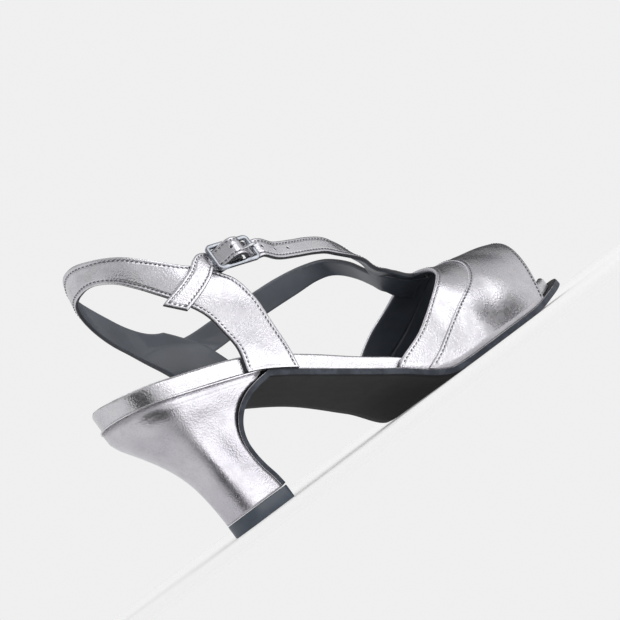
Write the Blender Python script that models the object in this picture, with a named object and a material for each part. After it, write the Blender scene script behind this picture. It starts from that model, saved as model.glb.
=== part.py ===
"""Heeled peep-toe sandal for the right foot: stands on its forefoot and heel tip.

Metres, +Z up. The origin lies on the heel tip's ground face, +X runs to the toe and +Y to the
inner (medial) side of the foot.
"""

import math

import bmesh
import bpy
import numpy as np
from mathutils import Matrix

MM = 0.001
NONE = None

# Driving sizes of the sole
SOLE_LENGTH = 229.0 * MM       # back of the seat to the toe, along the ground
BALL_WIDTH = 74.5 * MM
HEEL_LIFT = 64.9 * MM          # ground to the sole's underside at the back of the seat
HEEL_OVERHANG = 36.5 * MM      # the seat's back edge behind the origin
TOE_SWING = 2.0 * MM           # the centre line's bend to the inner side at the toe
OUTSOLE_THICK = 2.8 * MM
BREAST_THICK = 2.4 * MM        # the outsole where it runs down the front of the heel
GAP = 0.3 * MM                 # between pieces that touch

# Insole board with its wrapped cover
INSOLE_THICK = 8.2 * MM
INSOLE_DISH = 1.0 * MM
INSOLE_ROUND = 1.7 * MM
INSOLE_EASE = 0.25 * MM        # play between the insole and the vamp's wall
DISH_REACH = 12.0 * MM         # half width from which the dish has its full depth

# Heel
TIP_FRONT = 10.8 * MM          # the ground face's front edge, forward of the origin
TIP_LENGTH = 26.3 * MM
TIP_THICK = 6.0 * MM
TIP_FRONT_WIDTH = 20.0 * MM
TIP_WIDTH = 21.6 * MM
SEAT_REACH = 62.3 * MM         # the heel's top, from its back to its front lip
BACK_GATHER = 0.9              # below 1, a section's points lie closer together at the back
SWELL_BY = 0.45                # share of a section's depth where it is at its widest
BACK_TURN_FROM = 0.62          # share of its depth where its sides turn to the back
SEAT_TURN_SOONER = 0.14        # how much sooner they turn up at the seat
BACK_TURN_POWER = 2.15

# Upper
UPPER_WALL = 1.8 * MM
OVERLAY_STEP = 0.7 * MM        # how far the front panel stands over the band behind it
LAP = 0.9 * MM                 # how far a lapped strap lies under the piece that it joins
VAMP_SETBACK = 0.5 * MM        # the vamp's foot inside the outsole's edge
INSTEP_HEIGHT = 101.0 * MM     # the last's ridge above the ground where the straps start
SLING_HEIGHT = 128.5 * MM      # top edge of the sling at the back, above the ground
SLING_BREADTH = 27.2 * MM      # the sling's outer side from the centre line at the ankle
SLING_INNER_BREADTH = 28.4 * MM
SLING_DEPTH = 39.6 * MM        # ankle's widest place to the sling's back
ANKLE_CENTRE = 30.0 * MM       # the ankle's widest place, forward of the origin
OUTER_SQUARENESS = 0.86        # of the sling's plan: 1 is an oval, less is squarer
INNER_SQUARENESS = 0.76
STRAP_WIDTH = 8.9 * MM
SEAM_SLOPE = 0.25 * MM         # how far along the foot the front panel's step rises
FOOT_CROWDING = 0.8            # below 1, the vamp's points lie closer together at its feet
QUARTER_TOP_DRAW = 26.0 * MM   # over the insole's top, where a quarter starts to draw in
QUARTER_FULL_DRAW = 1.5 * MM   # below the insole's top, where it is all the way in
QUARTER_FROM = 60.0            # turn from which the sling's band counts as a quarter
SLING_CURL = 0.05              # how much the sling's top edge tips in over the heel
SLING_CURL_FROM = 0.90         # share of SLING_HEIGHT where that starts

# Buckle
BUCKLE_LENGTH = 21.5 * MM
BUCKLE_WIDTH = 13.4 * MM
BAR = 1.9 * MM                 # the frame's wire
PRONG = 1.3 * MM
ELASTIC_WIDTH = 9.0 * MM
ELASTIC_THICK = 1.2 * MM
ELASTIC_SEAT_TURN = -87.0      # where its tail is sewn behind the outer quarter
ELASTIC_SEAT_RISE = 0.747
BUCKLE_CORNER = 1.6 * MM       # at the middle of the wire
CENTRE_BAR_SHARE = 0.92        # its wire beside the frame's
PRONG_REACH = 1.6 * MM         # its tip beyond the middle of the front bar
PRONG_FLAT = 1.5 * MM          # its straight end behind the middle of the front bar
PRONG_HOLE = (4.4 * MM, PRONG + 1.0 * MM, 7.0 * MM)
PRONG_HOLE_CENTRE = (5.1 * MM, 0, 0.9 * MM)
ELASTIC_SLOT = (6.9 * MM, PRONG + 1.2 * MM, 7.0 * MM)
ELASTIC_SLOT_CENTRE = (0.6 * MM, 0, 0)

# Places along the sole, as shares of its length. Height is a share of HEEL_LIFT. Outer and inner
# are the outline's fullness on each side, as shares of BALL_WIDTH: a half oval would be constant.
SOLE_COLUMNS = ("along", "height", "outer", "inner")
SOLE_ROWS = (
    (0.000, 1.000, 0.680, 0.660),
    (0.022, 0.978, 0.653, 0.635),
    (0.052, 0.948, 0.602, 0.588),
    (0.099, 0.902, 0.510, 0.500),
    (0.125, 0.877, 0.463, 0.453),
    (0.264, 0.730, 0.350, 0.338),
    (0.304, 0.661, 0.337, 0.291),
    (0.383, 0.497, 0.317, 0.237),
    (0.503, 0.223, 0.354, 0.320),
    (0.602, 0.009, 0.428, 0.467),
    (0.637, 0.000, 0.470, 0.521),
    (0.702, 0.000, 0.534, 0.551),
    (0.811, 0.000, 0.595, 0.523),
    (0.900, 0.034, 0.589, 0.551),
    (1.000, 0.080, 0.530, 0.501),
)

# How far the insole's edge stays inside the outsole's, by place along the sole, as shares of
# the wall that the vamp puts between them.
INSOLE_COLUMNS = ("along", "inset", "thick")
INSOLE_ROWS = (
    (0.00, 0.30, 1.00),
    (0.37, 0.30, 0.97),
    (0.47, 1.00, 0.90),
    (0.62, 1.25, 0.84),
    (0.70, 1.25, 0.80),
    (0.85, 1.02, 0.74),
    (1.00, 1.75, 0.66),
)

# The heel from its seat down to the tip. Front and back are places forward of the origin,
# as shares of HEEL_OVERHANG; heights are shares of HEEL_LIFT. Half widths are shares of the
# seat's half width at the front lip. Seat says how much of the sole's outline a section keeps.
HEEL_COLUMNS = ("front", "front_height", "back", "back_height", "breast", "widest", "seat")
HEEL_ROWS = (
    (0.584, 0.737, -0.988, 0.965, 1.000, 0.990, 1.00),
    (0.386, 0.710, -0.932, 0.899, 0.940, 0.900, 0.85),
    (0.231, 0.653, -0.795, 0.790, 0.830, 0.760, 0.50),
    (0.130, 0.567, -0.655, 0.674, 0.715, 0.635, 0.24),
    (0.092, 0.467, -0.545, 0.556, 0.620, 0.545, 0.08),
    (0.107, 0.368, -0.475, 0.437, 0.550, 0.490, 0.02),
    (0.153, 0.264, -0.442, 0.316, 0.490, 0.465, 0.00),
    (0.208, 0.174, -0.427, 0.200, 0.450, 0.460, 0.00),
    (0.236, 0.097, -0.419, 0.097, 0.430, 0.465, 0.00),
)

# The last's ridge over the instep and toes: place along the sole, height as a share of
# INSTEP_HEIGHT, and how far the ridge lies to the inner side as a share of BALL_WIDTH.
RIDGE_COLUMNS = ("along", "height", "inward")
RIDGE_ROWS = (
    (0.473, 1.000, 0.02),
    (0.563, 0.830, 0.04),
    (0.622, 0.692, 0.05),
    (0.681, 0.571, 0.06),
    (0.741, 0.462, 0.07),
    (0.792, 0.423, 0.07),
    (0.841, 0.402, 0.07),
    (0.891, 0.382, 0.06),
    (0.931, 0.352, 0.05),
    (1.000, 0.228, 0.03),
)
LAST_SQUARENESS = 2.35

# The vamp's edges: place along the sole at the ridge, at the outer foot and at the inner foot,
# and the power of the turn between them.
VAMP_COLUMNS = ("ridge", "outer_foot", "inner_foot", "turn")
VAMP_REAR = (0.742, 0.512, 0.515, 2.8)
VAMP_SEAM = (0.798, 0.558, 0.560, 3.2)
VAMP_FRONT = (0.928, 0.861, 0.863, 2.1)

# The sling band from the outer side of the seat, round the back of the heel and down to the
# inner side. Turn is the angle about the ankle, 0 at the back; rise is a share of SLING_HEIGHT.
SLING_COLUMNS = ("lower_turn", "lower_rise", "upper_turn", "upper_rise")
SLING_ROWS = (
    (-78.0, 0.407, -117.0, 0.326),
    (-82.0, 0.486, -120.0, 0.405),
    (-80.0, 0.560, -119.0, 0.506),
    (-77.0, 0.623, -117.0, 0.591),
    (-72.0, 0.673, -111.0, 0.669),
    (-66.0, 0.720, -98.0, 0.732),
    (-58.0, 0.773, -83.0, 0.802),
    (-48.0, 0.833, -69.0, 0.875),
    (-36.0, 0.886, -53.0, 0.942),
    (-20.0, 0.918, -30.0, 0.988),
    (0.0, 0.922, 0.0, 1.008),
    (20.0, 0.891, 30.0, 0.957),
    (34.0, 0.844, 49.0, 0.903),
    (46.0, 0.790, 63.0, 0.840),
    (56.0, 0.739, 75.0, 0.767),
    (65.0, 0.689, 86.0, 0.704),
    (72.0, 0.630, 100.0, 0.646),
    (78.0, 0.564, 116.0, 0.568),
    (82.0, 0.482, 123.0, 0.440),
    (78.0, 0.407, 117.0, 0.335),
)

# How the ankle's breadth swells and draws in with height, as shares
ANKLE_COLUMNS = ("rise", "breadth")
ANKLE_ROWS = (
    (0.30, 0.90),
    (0.50, 0.95),
    (0.70, 1.00),
    (0.85, 0.95),
    (1.00, 0.84),
)

# The instep strap from the inner quarter forward and under the vamp. Along is a share of
# SOLE_LENGTH, side a share of BALL_WIDTH, rise a share of INSTEP_HEIGHT; where rise is NONE the
# edge lies on the last. Sink is in laps below the face that it joins. Hug is 1 where the strap
# follows the inner quarter.
STRAP_COLUMNS = (
    "low_along", "low_side", "low_rise", "high_along", "high_side", "high_rise", "sink", "hug")
INSTEP_STRAP = (
    (0.289, 0.352, 0.680, 0.266, 0.372, 0.825, 1.0, 1.0),
    (0.349, 0.350, 0.680, 0.329, 0.370, 0.800, 1.0, 1.0),
    (0.408, 0.352, 0.686, 0.398, 0.358, 0.797, 0.5, 0.3),
    (0.500, 0.350, 0.688, 0.490, 0.337, 0.793, 0.0, 0.0),
    (0.578, 0.349, 0.684, 0.560, 0.325, 0.787, 0.0, 0.0),
    (0.634, 0.335, 0.682, 0.615, 0.297, 0.769, 0.0, 0.0),
    (0.662, 0.310, 0.668, 0.648, 0.258, 0.744, 0.0, 0.0),
    (0.682, 0.275, 0.635, 0.664, 0.210, 0.712, 0.0, 0.0),
    (0.697, 0.235, 0.583, 0.677, 0.140, 0.655, 0.0, 0.0),
    (0.709, 0.195, 0.520, 0.687, 0.060, 0.572, 0.4, 0.0),
    (0.720, 0.195, NONE, 0.702, 0.010, NONE, 1.0, 0.0),
    (0.737, 0.225, NONE, 0.728, 0.015, NONE, 1.2, 0.0),
    (0.776, 0.262, NONE, 0.776, 0.020, NONE, 1.3, 0.0),
)

# The fastening strap from under the vamp, over the instep and back to the buckle: its centre
# line, and the lean of its face from flat on top (0) to standing on the outer side (90).
# Rows on the last have along, side and sink; free ones along, side, rise and lean.
FASTENER_ON_LAST = (
    (0.766, 0.040, 0.65),
    (0.731, 0.035, 0.55),
    (0.703, 0.020, 0.40),
)
FASTENER_FREE = (
    (0.671, -0.034, 0.566, 31.0),
    (0.646, -0.081, 0.635, 34.0),
    (0.624, -0.121, 0.684, 44.0),
    (0.600, -0.154, 0.727, 55.0),
    (0.573, -0.188, 0.768, 64.0),
    (0.538, -0.228, 0.798, 68.0),
    (0.493, -0.275, 0.827, 68.0),
    (0.450, -0.315, 0.860, 68.0),
)

# The buckle's place, its face's lean from flat, and its nose-down and nose-in angles, degrees
BUCKLE_ALONG = 0.357
BUCKLE_SIDE = -0.385
BUCKLE_RISE = 0.948
BUCKLE_LEAN = 70.0
BUCKLE_DIP = 15.0

# The strap through the buckle: places along it, in half lengths of the frame from its centre,
# and clearances off the bars: -1 lies under the end bars, 1 lies over the centre bar.
THREAD_ROWS = (
    (1.35, -1.0),
    (0.89, -1.15),
    (0.50, -0.05),
    (0.24, 0.80),
    (0.00, 1.0),
    (-0.24, 0.80),
    (-0.50, -0.05),
    (-0.89, -1.15),
    (-1.30, -0.45),
)

# The strap's free end behind the buckle, by places like the fastening strap's
TAIL_ROWS = (
    (0.270, -0.397, 0.950, 72.0),
    (0.235, -0.402, 0.922, 74.0),
    (0.196, -0.395, 0.900, 76.0),
)
TAIL_CUT = 4.5 * MM            # how far the tip's upper corner runs on past its lower one


def clear_scene():
    for obj in list(bpy.data.objects):
        bpy.data.objects.remove(obj, do_unlink=True)


def column(rows, columns, name):
    """One named column of a table."""
    return [row[columns.index(name)] for row in rows]


def flowing(places, values, at):
    """A curve through the values that never overshoots them (Fritsch and Carlson)."""
    places = np.asarray(places, float)
    values = np.asarray(values, float)
    steps = np.diff(places)
    slopes = np.diff(values) / steps
    bends = np.zeros(len(places))
    bends[0] = slopes[0]
    bends[-1] = slopes[-1]
    for i in range(1, len(slopes)):
        before, after = slopes[i - 1], slopes[i]
        if before * after > 0:
            near = 2 * steps[i] + steps[i - 1]
            far = steps[i] + 2 * steps[i - 1]
            bends[i] = (near + far) / (near / before + far / after)
    at = np.clip(np.asarray(at, float), places[0], places[-1])
    i = np.clip(np.searchsorted(places, at, side="right") - 1, 0, len(steps) - 1)
    t = (at - places[i]) / steps[i]
    return (
        (1 + 2 * t) * (1 - t) ** 2 * values[i]
        + t * (1 - t) ** 2 * steps[i] * bends[i]
        + t**2 * (3 - 2 * t) * values[i + 1]
        + t**2 * (t - 1) * steps[i] * bends[i + 1]
    )


def through(points, count):
    """Count points on a smooth curve through rows of any width, evenly by chord."""
    points = np.asarray(points, float)
    chords = np.linalg.norm(np.diff(points[:, :3], axis=0), axis=1) ** 0.5
    knots = np.concatenate([[0], np.cumsum(chords)])
    padded = np.vstack([2 * points[0] - points[1], points, 2 * points[-1] - points[-2]])
    ends = np.concatenate([[-chords[0]], knots, [knots[-1] + chords[-1]]])
    spots = np.linspace(0, knots[-1], count)
    out = []
    for spot in spots:
        i = int(np.clip(np.searchsorted(knots, spot, side="right") - 1, 0, len(chords) - 1))
        a, b, c, d = padded[i:i + 4]
        ta, tb, tc, td = ends[i:i + 4]
        ab = (tb - spot) / (tb - ta) * a + (spot - ta) / (tb - ta) * b
        bc = (tc - spot) / (tc - tb) * b + (spot - tb) / (tc - tb) * c
        cd = (td - spot) / (td - tc) * c + (spot - tc) / (td - tc) * d
        left = (tc - spot) / (tc - ta) * ab + (spot - ta) / (tc - ta) * bc
        right = (td - spot) / (td - tb) * bc + (spot - tb) / (td - tb) * cd
        out.append((tc - spot) / (tc - tb) * left + (spot - tb) / (tc - tb) * right)
    return np.array(out)


def along_to_x(along):
    return SOLE_LENGTH * along - HEEL_OVERHANG


def x_to_along(x):
    return (np.asarray(x) + HEEL_OVERHANG) / SOLE_LENGTH


def sole_column(name, along):
    return flowing(column(SOLE_ROWS, SOLE_COLUMNS, "along"),
                   column(SOLE_ROWS, SOLE_COLUMNS, name), along)


def sole_bottom(x):
    """Height of the outsole's underside over the ground."""
    return HEEL_LIFT * sole_column("height", x_to_along(x))


def insole_bottom(x):
    """Height of the insole's underside: the outsole's thickness, square to its slope, and a gap."""
    step = 0.5 * MM
    slope = (sole_bottom(x + step) - sole_bottom(x - step)) / (2 * step)
    return sole_bottom(x) + OUTSOLE_THICK * np.sqrt(1 + slope**2) + GAP


def half_width(x, side):
    """The sole's outline: the distance from the centre line to its outer or inner edge."""
    along = np.clip(x_to_along(x), 0, 1)
    return 2 * np.sqrt(along * (1 - along)) * BALL_WIDTH * sole_column(side, along)


def centre_line(x):
    return TOE_SWING * np.clip(x_to_along(x), 0, 1) ** 2


def edge_point(x, side, inset=0.0):
    """A point on the sole's outline, moved square to it to the inside."""
    sign = -1 if side == "outer" else 1
    step = 0.2 * MM
    back = max(x - step, along_to_x(0.0002))
    front = min(x + step, along_to_x(0.9998))
    rise = (half_width(front, side) - half_width(back, side)) / (front - back)
    length = math.hypot(1, rise)
    y = centre_line(x) + sign * (half_width(x, side) - inset / length)
    return x + inset * rise / length, y


def blend(low, high, value):
    """0 below low, 1 above high and smooth between them."""
    t = np.clip((value - low) / (high - low), 0, 1)
    return t * t * (3 - 2 * t)


def grid_faces(rows, columns, offset=0, closed=False):
    faces = []
    spans = columns if closed else columns - 1
    for i in range(rows - 1):
        for j in range(spans):
            a = offset + i * columns + j
            b = offset + i * columns + (j + 1) % columns
            faces.append((a, b, b + columns, a + columns))
    return faces


def mesh_object(name, points, faces, target):
    mesh = bpy.data.meshes.new(name)
    mesh.from_pydata([tuple(point) for point in points], [], faces)
    mesh.validate()
    obj = bpy.data.objects.new(name, mesh)
    target.objects.link(obj)
    bpy.context.view_layer.objects.active = obj
    return obj


def face_out(obj):
    """Turns a closed body's faces outwards."""
    mesh = obj.data
    volume = 0.0
    for face in mesh.polygons:
        corners = [mesh.vertices[i].co for i in face.vertices]
        for i in range(1, len(corners) - 1):
            volume += corners[0].dot(corners[i].cross(corners[i + 1]))
    if volume < 0:
        mesh.flip_normals()


def ring_loft(name, rings, target):
    """A closed body through rings of points, capped at both ends."""
    rings = np.asarray(rings)
    count, size = rings.shape[:2]
    faces = grid_faces(count, size, closed=True)
    faces.append(tuple(range(size))[::-1])
    faces.append(tuple((count - 1) * size + i for i in range(size)))
    obj = mesh_object(name, rings.reshape(-1, 3), faces, target)
    face_out(obj)
    return obj


def grid_normals(grid):
    """Unit normals of a grid of points, one a point."""
    along = np.gradient(grid, axis=0)
    across = np.gradient(grid, axis=1)
    normals = np.cross(along, across)
    return normals / np.linalg.norm(normals, axis=2, keepdims=True)


def wall_loft(name, outer, inner, target):
    """A closed wall between an outer and an inner grid of points."""
    rows, columns = outer.shape[:2]
    size = rows * columns
    faces = grid_faces(rows, columns)
    faces += [face[::-1] for face in grid_faces(rows, columns, offset=size)]
    rim = [j for j in range(columns)]
    rim += [i * columns + columns - 1 for i in range(1, rows)]
    rim += [(rows - 1) * columns + j for j in range(columns - 2, -1, -1)]
    rim += [i * columns for i in range(rows - 2, 0, -1)]
    for a, b in zip(rim, rim[1:] + rim[:1]):
        faces.append((b, a, a + size, b + size))
    points = np.vstack([outer.reshape(-1, 3), inner.reshape(-1, 3)])
    obj = mesh_object(name, points, faces, target)
    face_out(obj)
    return obj


def outward(grid, normals, centre):
    """The normals, turned so that most point away from the centre."""
    away = ((grid - np.asarray(centre)) * normals).sum()
    return normals if away > 0 else -normals


def principled(name, colour, roughness, metallic):
    material = bpy.data.materials.new(name)
    material.use_nodes = True
    shader = material.node_tree.nodes["Principled BSDF"]
    shader.inputs["Base Color"].default_value = (*colour, 1)
    shader.inputs["Roughness"].default_value = roughness
    shader.inputs["Metallic"].default_value = metallic
    return material


def smooth_shade(obj, angle=40):
    obj.data.shade_smooth()
    obj.data.set_sharp_from_angle(angle=math.radians(angle))


def join(base, tools, operation):
    for tool in tools:
        modifier = base.modifiers.new(f"{operation.lower()}_{tool.name}", "BOOLEAN")
        modifier.operation = operation
        modifier.solver = "EXACT"
        modifier.object = tool


def hide_tool(obj):
    obj.hide_render = True
    obj.display_type = "WIRE"


# Sole


def rib_places(start, end, count):
    """Shares along the sole between two places, closer together near its two tips."""
    turn = np.linspace(math.acos(1 - 2 * start), math.acos(1 - 2 * end), count)
    return (1 - np.cos(turn)) / 2


def breast_rows():
    """The heel's front edge from the tip up to its lip: x, z and half width."""
    seat = float(half_width(along_to_x(0.0) + SEAT_REACH, "outer"))
    rows = []
    for row in reversed(HEEL_ROWS):
        named = dict(zip(HEEL_COLUMNS, row))
        rows.append((
            named["front"] * HEEL_OVERHANG,
            named["front_height"] * HEEL_LIFT,
            named["breast"] * seat,
        ))
    return np.array(rows)


def offset_path(path, distance):
    """An x, z path moved square to itself, to the side of +X when the path climbs."""
    slope = np.gradient(path, axis=0)
    slope /= np.linalg.norm(slope, axis=1, keepdims=True)
    return path + distance * np.c_[slope[:, 1], -slope[:, 0]]


def make_outsole(target):
    """One sheet: the forefoot and waist, and the tongue that runs down the heel's breast."""
    breast = through(breast_rows(), 24)
    face = offset_path(breast[:, :2], GAP)
    back = offset_path(breast[:, :2], GAP + BREAST_THICK)
    columns = np.linspace(0, 1, 9)
    rings = []

    def ring(top_x, top_z, low_x, low_z, outer, inner):
        across = outer + (inner - outer) * columns
        low = [(low_x, y, low_z) for y in across]
        top = [(top_x, y, top_z) for y in across[::-1]]
        rings.append(low + top)

    for (tx, tz), (lx, lz), (_, _, width) in zip(face, back, breast):
        if tz < TIP_THICK + GAP:
            tz = TIP_THICK + GAP
        ring(tx, tz, lx, max(lz, TIP_THICK + GAP), -width, width)
    for along in rib_places(0.281, 0.9993, 40):
        x = along_to_x(along)
        slope = float(sole_bottom(x + 0.5 * MM) - sole_bottom(x - 0.5 * MM)) / MM
        drop = OUTSOLE_THICK / math.hypot(1, slope)
        outer_x, outer_y = edge_point(x, "outer")
        inner_x, inner_y = edge_point(x, "inner")
        low_z = float(sole_bottom(x))
        ring(x - slope * drop, low_z + drop, x, low_z, outer_y, inner_y)
    obj = ring_loft("outsole", rings, target)
    obj.data.materials.append(principled("black_suede", (0.014, 0.014, 0.018), 0.95, 0.0))
    smooth_shade(obj, 50)
    return obj


def insole_inset(along):
    share = flowing(column(INSOLE_ROWS, INSOLE_COLUMNS, "along"),
                    column(INSOLE_ROWS, INSOLE_COLUMNS, "inset"), along)
    return share * (VAMP_SETBACK + UPPER_WALL + GAP + INSOLE_EASE)


def insole_thick(along):
    return INSOLE_THICK * flowing(column(INSOLE_ROWS, INSOLE_COLUMNS, "along"),
                                  column(INSOLE_ROWS, INSOLE_COLUMNS, "thick"), along)


def make_insole(target):
    """The padded board: flat below, rounded at its top edge and dished to the foot."""
    rings = []
    for along in rib_places(0.0006, 0.9994, 46):
        x = along_to_x(along)
        inset = float(insole_inset(along))
        thick = float(insole_thick(along))
        outer = edge_point(x, "outer", inset)
        inner = edge_point(x, "inner", inset)
        middle = ((outer[0] + inner[0]) / 2, (outer[1] + inner[1]) / 2)
        reach = math.hypot(inner[0] - outer[0], inner[1] - outer[1]) / 2
        round_off = min(INSOLE_ROUND, reach * 0.45)
        dish = INSOLE_DISH * blend(0, DISH_REACH, reach)
        ring = []
        for edge in (outer, inner):
            points = [(1.0, 0.0, 0.0), (1.0, 0.0, thick - round_off)]
            for turn in (30, 60, 90):
                spread = round_off * (1 - math.cos(math.radians(turn)))
                rise = round_off * math.sin(math.radians(turn))
                points.append((1.0, spread, thick - round_off + rise))
            points.append((0.62, 0.0, thick - 0.55 * dish))
            if edge is inner:
                points = points[::-1]
                points.insert(0, (0.25, 0.0, thick - dish))
            for share, spread, rise in points:
                px = middle[0] + (edge[0] - middle[0]) * (share - spread / max(reach, 1e-6))
                py = middle[1] + (edge[1] - middle[1]) * (share - spread / max(reach, 1e-6))
                ring.append((px, py, float(insole_bottom(px)) + rise))
        ring.append((middle[0], middle[1], float(insole_bottom(middle[0]))))
        rings.append(ring)
    obj = ring_loft("insole", rings, target)
    obj.data.materials.append(principled("pewter_leather_rim", (0.50, 0.49, 0.51), 0.34, 0.9))
    smooth_shade(obj, 50)
    return obj


def heel_section(front, back, breast, widest, seat, count):
    """Points around one section: across the breast, then round the back, outer side first."""
    front_x, front_z = front
    back_x, back_z = back
    shape = []
    for turn in np.linspace(0, 1, count):
        share = math.sin(turn * math.pi / 2) ** BACK_GATHER
        swell = breast + (widest - breast) * float(blend(0.0, SWELL_BY, share))
        start = BACK_TURN_FROM - SEAT_TURN_SOONER * seat
        bend = max(0.0, (share - start) / (1 - start))
        curve = swell * (1 - bend**BACK_TURN_POWER) ** (1 / BACK_TURN_POWER)
        shape.append((share, curve))
    out = []
    for sign, side in ((-1, "outer"), (1, "inner")):
        points = []
        for share, curve in shape:
            x = front_x + (back_x - front_x) * share
            z = front_z + (back_z - front_z) * share
            top_x = along_to_x(0.0) + SEAT_REACH * (1 - share)
            outline = float(half_width(top_x, side))
            scale = widest / float(half_width(along_to_x(0.0) + SEAT_REACH, "outer"))
            reach = (1 - seat) * curve + seat * outline * scale
            points.append((x, sign * reach, z))
        out.append(points)
    outer, inner = out
    outer[-1] = inner[-1] = (back_x, 0.0, back_z)
    across = [
        (front_x, outer[0][1] + (inner[0][1] - outer[0][1]) * s, front_z) for s in (2 / 3, 1 / 3)]
    return outer + inner[-2::-1] + across


def make_heel(target):
    """The covered heel block: the seat's outline above, a small D at the tip, hollow back."""
    seat_front = along_to_x(0.0) + SEAT_REACH
    seat_half = float(half_width(seat_front, "outer"))
    rows = []
    for row in HEEL_ROWS:
        named = dict(zip(HEEL_COLUMNS, row))
        rows.append((
            named["front"] * HEEL_OVERHANG, named["front_height"] * HEEL_LIFT,
            named["back"] * HEEL_OVERHANG, named["back_height"] * HEEL_LIFT,
            named["breast"] * seat_half, named["widest"] * seat_half, named["seat"],
        ))
    body = through(rows, 18)
    rings = [heel_section((seat_front, float(insole_bottom(seat_front)) - GAP),
                          (along_to_x(0.0), float(insole_bottom(along_to_x(0.0))) - GAP),
                          seat_half, seat_half, 1.0, 15)]
    for fx, fz, bx, bz, breast, widest, seat in body:
        fz = max(fz, TIP_THICK + GAP)
        bz = max(bz, TIP_THICK + GAP)
        rings.append(heel_section((fx, fz), (bx, bz), breast, widest, float(np.clip(seat, 0, 1)), 15))
    obj = ring_loft("heel", rings, target)
    obj.data.materials.append(principled("pewter_leather_heel", (0.46, 0.44, 0.47), 0.34, 0.9))
    smooth_shade(obj, 50)
    return obj


def make_heel_tip(target):
    """The top piece: a D-shaped block of rubber, cut square on the ground."""
    rings = []
    for z in (0.0, TIP_THICK):
        rings.append(heel_section((TIP_FRONT, z), (TIP_FRONT - TIP_LENGTH, z),
                                  TIP_FRONT_WIDTH / 2, TIP_WIDTH / 2, 0.0, 12))
    obj = ring_loft("heel_tip", rings, target)
    obj.data.materials.append(principled("slate_rubber", (0.05, 0.06, 0.075), 0.6, 0.0))
    smooth_shade(obj, 30)
    return obj


# Upper


def ridge(x):
    """The last's ridge: its height over the ground and its place across the foot."""
    along = np.clip(x_to_along(x), RIDGE_ROWS[0][0], 1)
    places = column(RIDGE_ROWS, RIDGE_COLUMNS, "along")
    height = flowing(places, column(RIDGE_ROWS, RIDGE_COLUMNS, "height"), along)
    inward = flowing(places, column(RIDGE_ROWS, RIDGE_COLUMNS, "inward"), along)
    return float(height) * INSTEP_HEIGHT, float(inward) * BALL_WIDTH


def last_foot(x, sign):
    """Where the last's outer face meets the outsole: y, z."""
    side = "outer" if sign < 0 else "inner"
    _, y = edge_point(x, side, VAMP_SETBACK)
    return y, float(insole_bottom(x))


def last_point(x, turn):
    """The upper's outer face: turn runs from -1 at the outer foot over the ridge to 1."""
    top, middle = ridge(x)
    foot_y, foot_z = last_foot(x, turn)
    angle = abs(turn) * math.pi / 2
    power = 2 / LAST_SQUARENESS
    y = middle + (foot_y - middle) * math.sin(angle) ** power
    z = foot_z + (top - foot_z) * math.cos(angle) ** power
    return x, y, z


def on_last(x, y):
    """The last's height at a place on the ground plan."""
    top, middle = ridge(x)
    foot_y, foot_z = last_foot(x, y - middle)
    share = min(abs((y - middle) / (foot_y - middle)), 0.98)
    return foot_z + (top - foot_z) * (1 - share**LAST_SQUARENESS) ** (1 / LAST_SQUARENESS)


def vamp_edge(edge, turn):
    named = dict(zip(VAMP_COLUMNS, edge))
    foot = named["outer_foot"] if turn < 0 else named["inner_foot"]
    share = named["ridge"] + (foot - named["ridge"]) * abs(turn) ** named["turn"]
    return along_to_x(share)


def make_vamp(target):
    """The peep-toe vamp: one wall, thicker by a step where the front panel lies on the band."""
    half = np.linspace(0, 1, 15) ** FOOT_CROWDING
    turns = np.concatenate([-half[::-1], half[1:]])
    step_width = SEAM_SLOPE / SOLE_LENGTH
    lines = []
    for share in np.linspace(0, 1, 5):
        lines.append(("band", share, 0.0))
    lines.append(("panel", step_width, OVERLAY_STEP))
    for share in np.linspace(0, 1, 8)[1:]:
        lines.append(("panel", share, OVERLAY_STEP))
    skin = []
    for part, share, _ in lines:
        start, end = (VAMP_REAR, VAMP_SEAM) if part == "band" else (VAMP_SEAM, VAMP_FRONT)
        row = []
        for turn in turns:
            a = vamp_edge(start, turn)
            b = vamp_edge(end, turn)
            row.append(last_point(a + (b - a) * share, turn))
        skin.append(row)
    skin = np.array(skin)
    centre = np.array([along_to_x(0.75), 0, 10 * MM])
    keep = [i for i in range(len(lines)) if lines[i][1] != step_width]
    flat = outward(skin[keep], grid_normals(skin[keep]), centre)
    normals = np.insert(flat, 5, flat[4], axis=0)
    lift = np.array([line[2] for line in lines])[:, None, None]
    outer = skin + normals * lift
    inner = skin - normals * UPPER_WALL
    for grid in (outer, inner):
        for row in grid:
            for point in (row[0], row[-1]):
                point[2] = float(insole_bottom(point[0]))
    return wall_loft("upper", outer, inner, target)


def ankle_breadth(sign, z):
    full = SLING_BREADTH if sign < 0 else SLING_INNER_BREADTH
    return full * float(flowing(column(ANKLE_ROWS, ANKLE_COLUMNS, "rise"),
                                column(ANKLE_ROWS, ANKLE_COLUMNS, "breadth"), z / SLING_HEIGHT))


def ankle_point(turn, z):
    """The sling's outer face: turn in degrees, 0 at the back of the heel and 90 abeam."""
    sign = -1 if turn < 0 else 1
    angle = math.radians(min(abs(turn), 90))
    depth = SLING_DEPTH * (1 - SLING_CURL * float(blend(SLING_CURL_FROM, 1.0, z / SLING_HEIGHT)))
    breadth = ankle_breadth(sign, z)
    squareness = OUTER_SQUARENESS if sign < 0 else INNER_SQUARENESS
    x = ANKLE_CENTRE - depth * math.cos(angle) ** squareness
    y = breadth * math.sin(angle) ** squareness
    if abs(turn) > 90:
        x += breadth * math.radians(abs(turn) - 90)
    return x, sign * y


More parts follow.
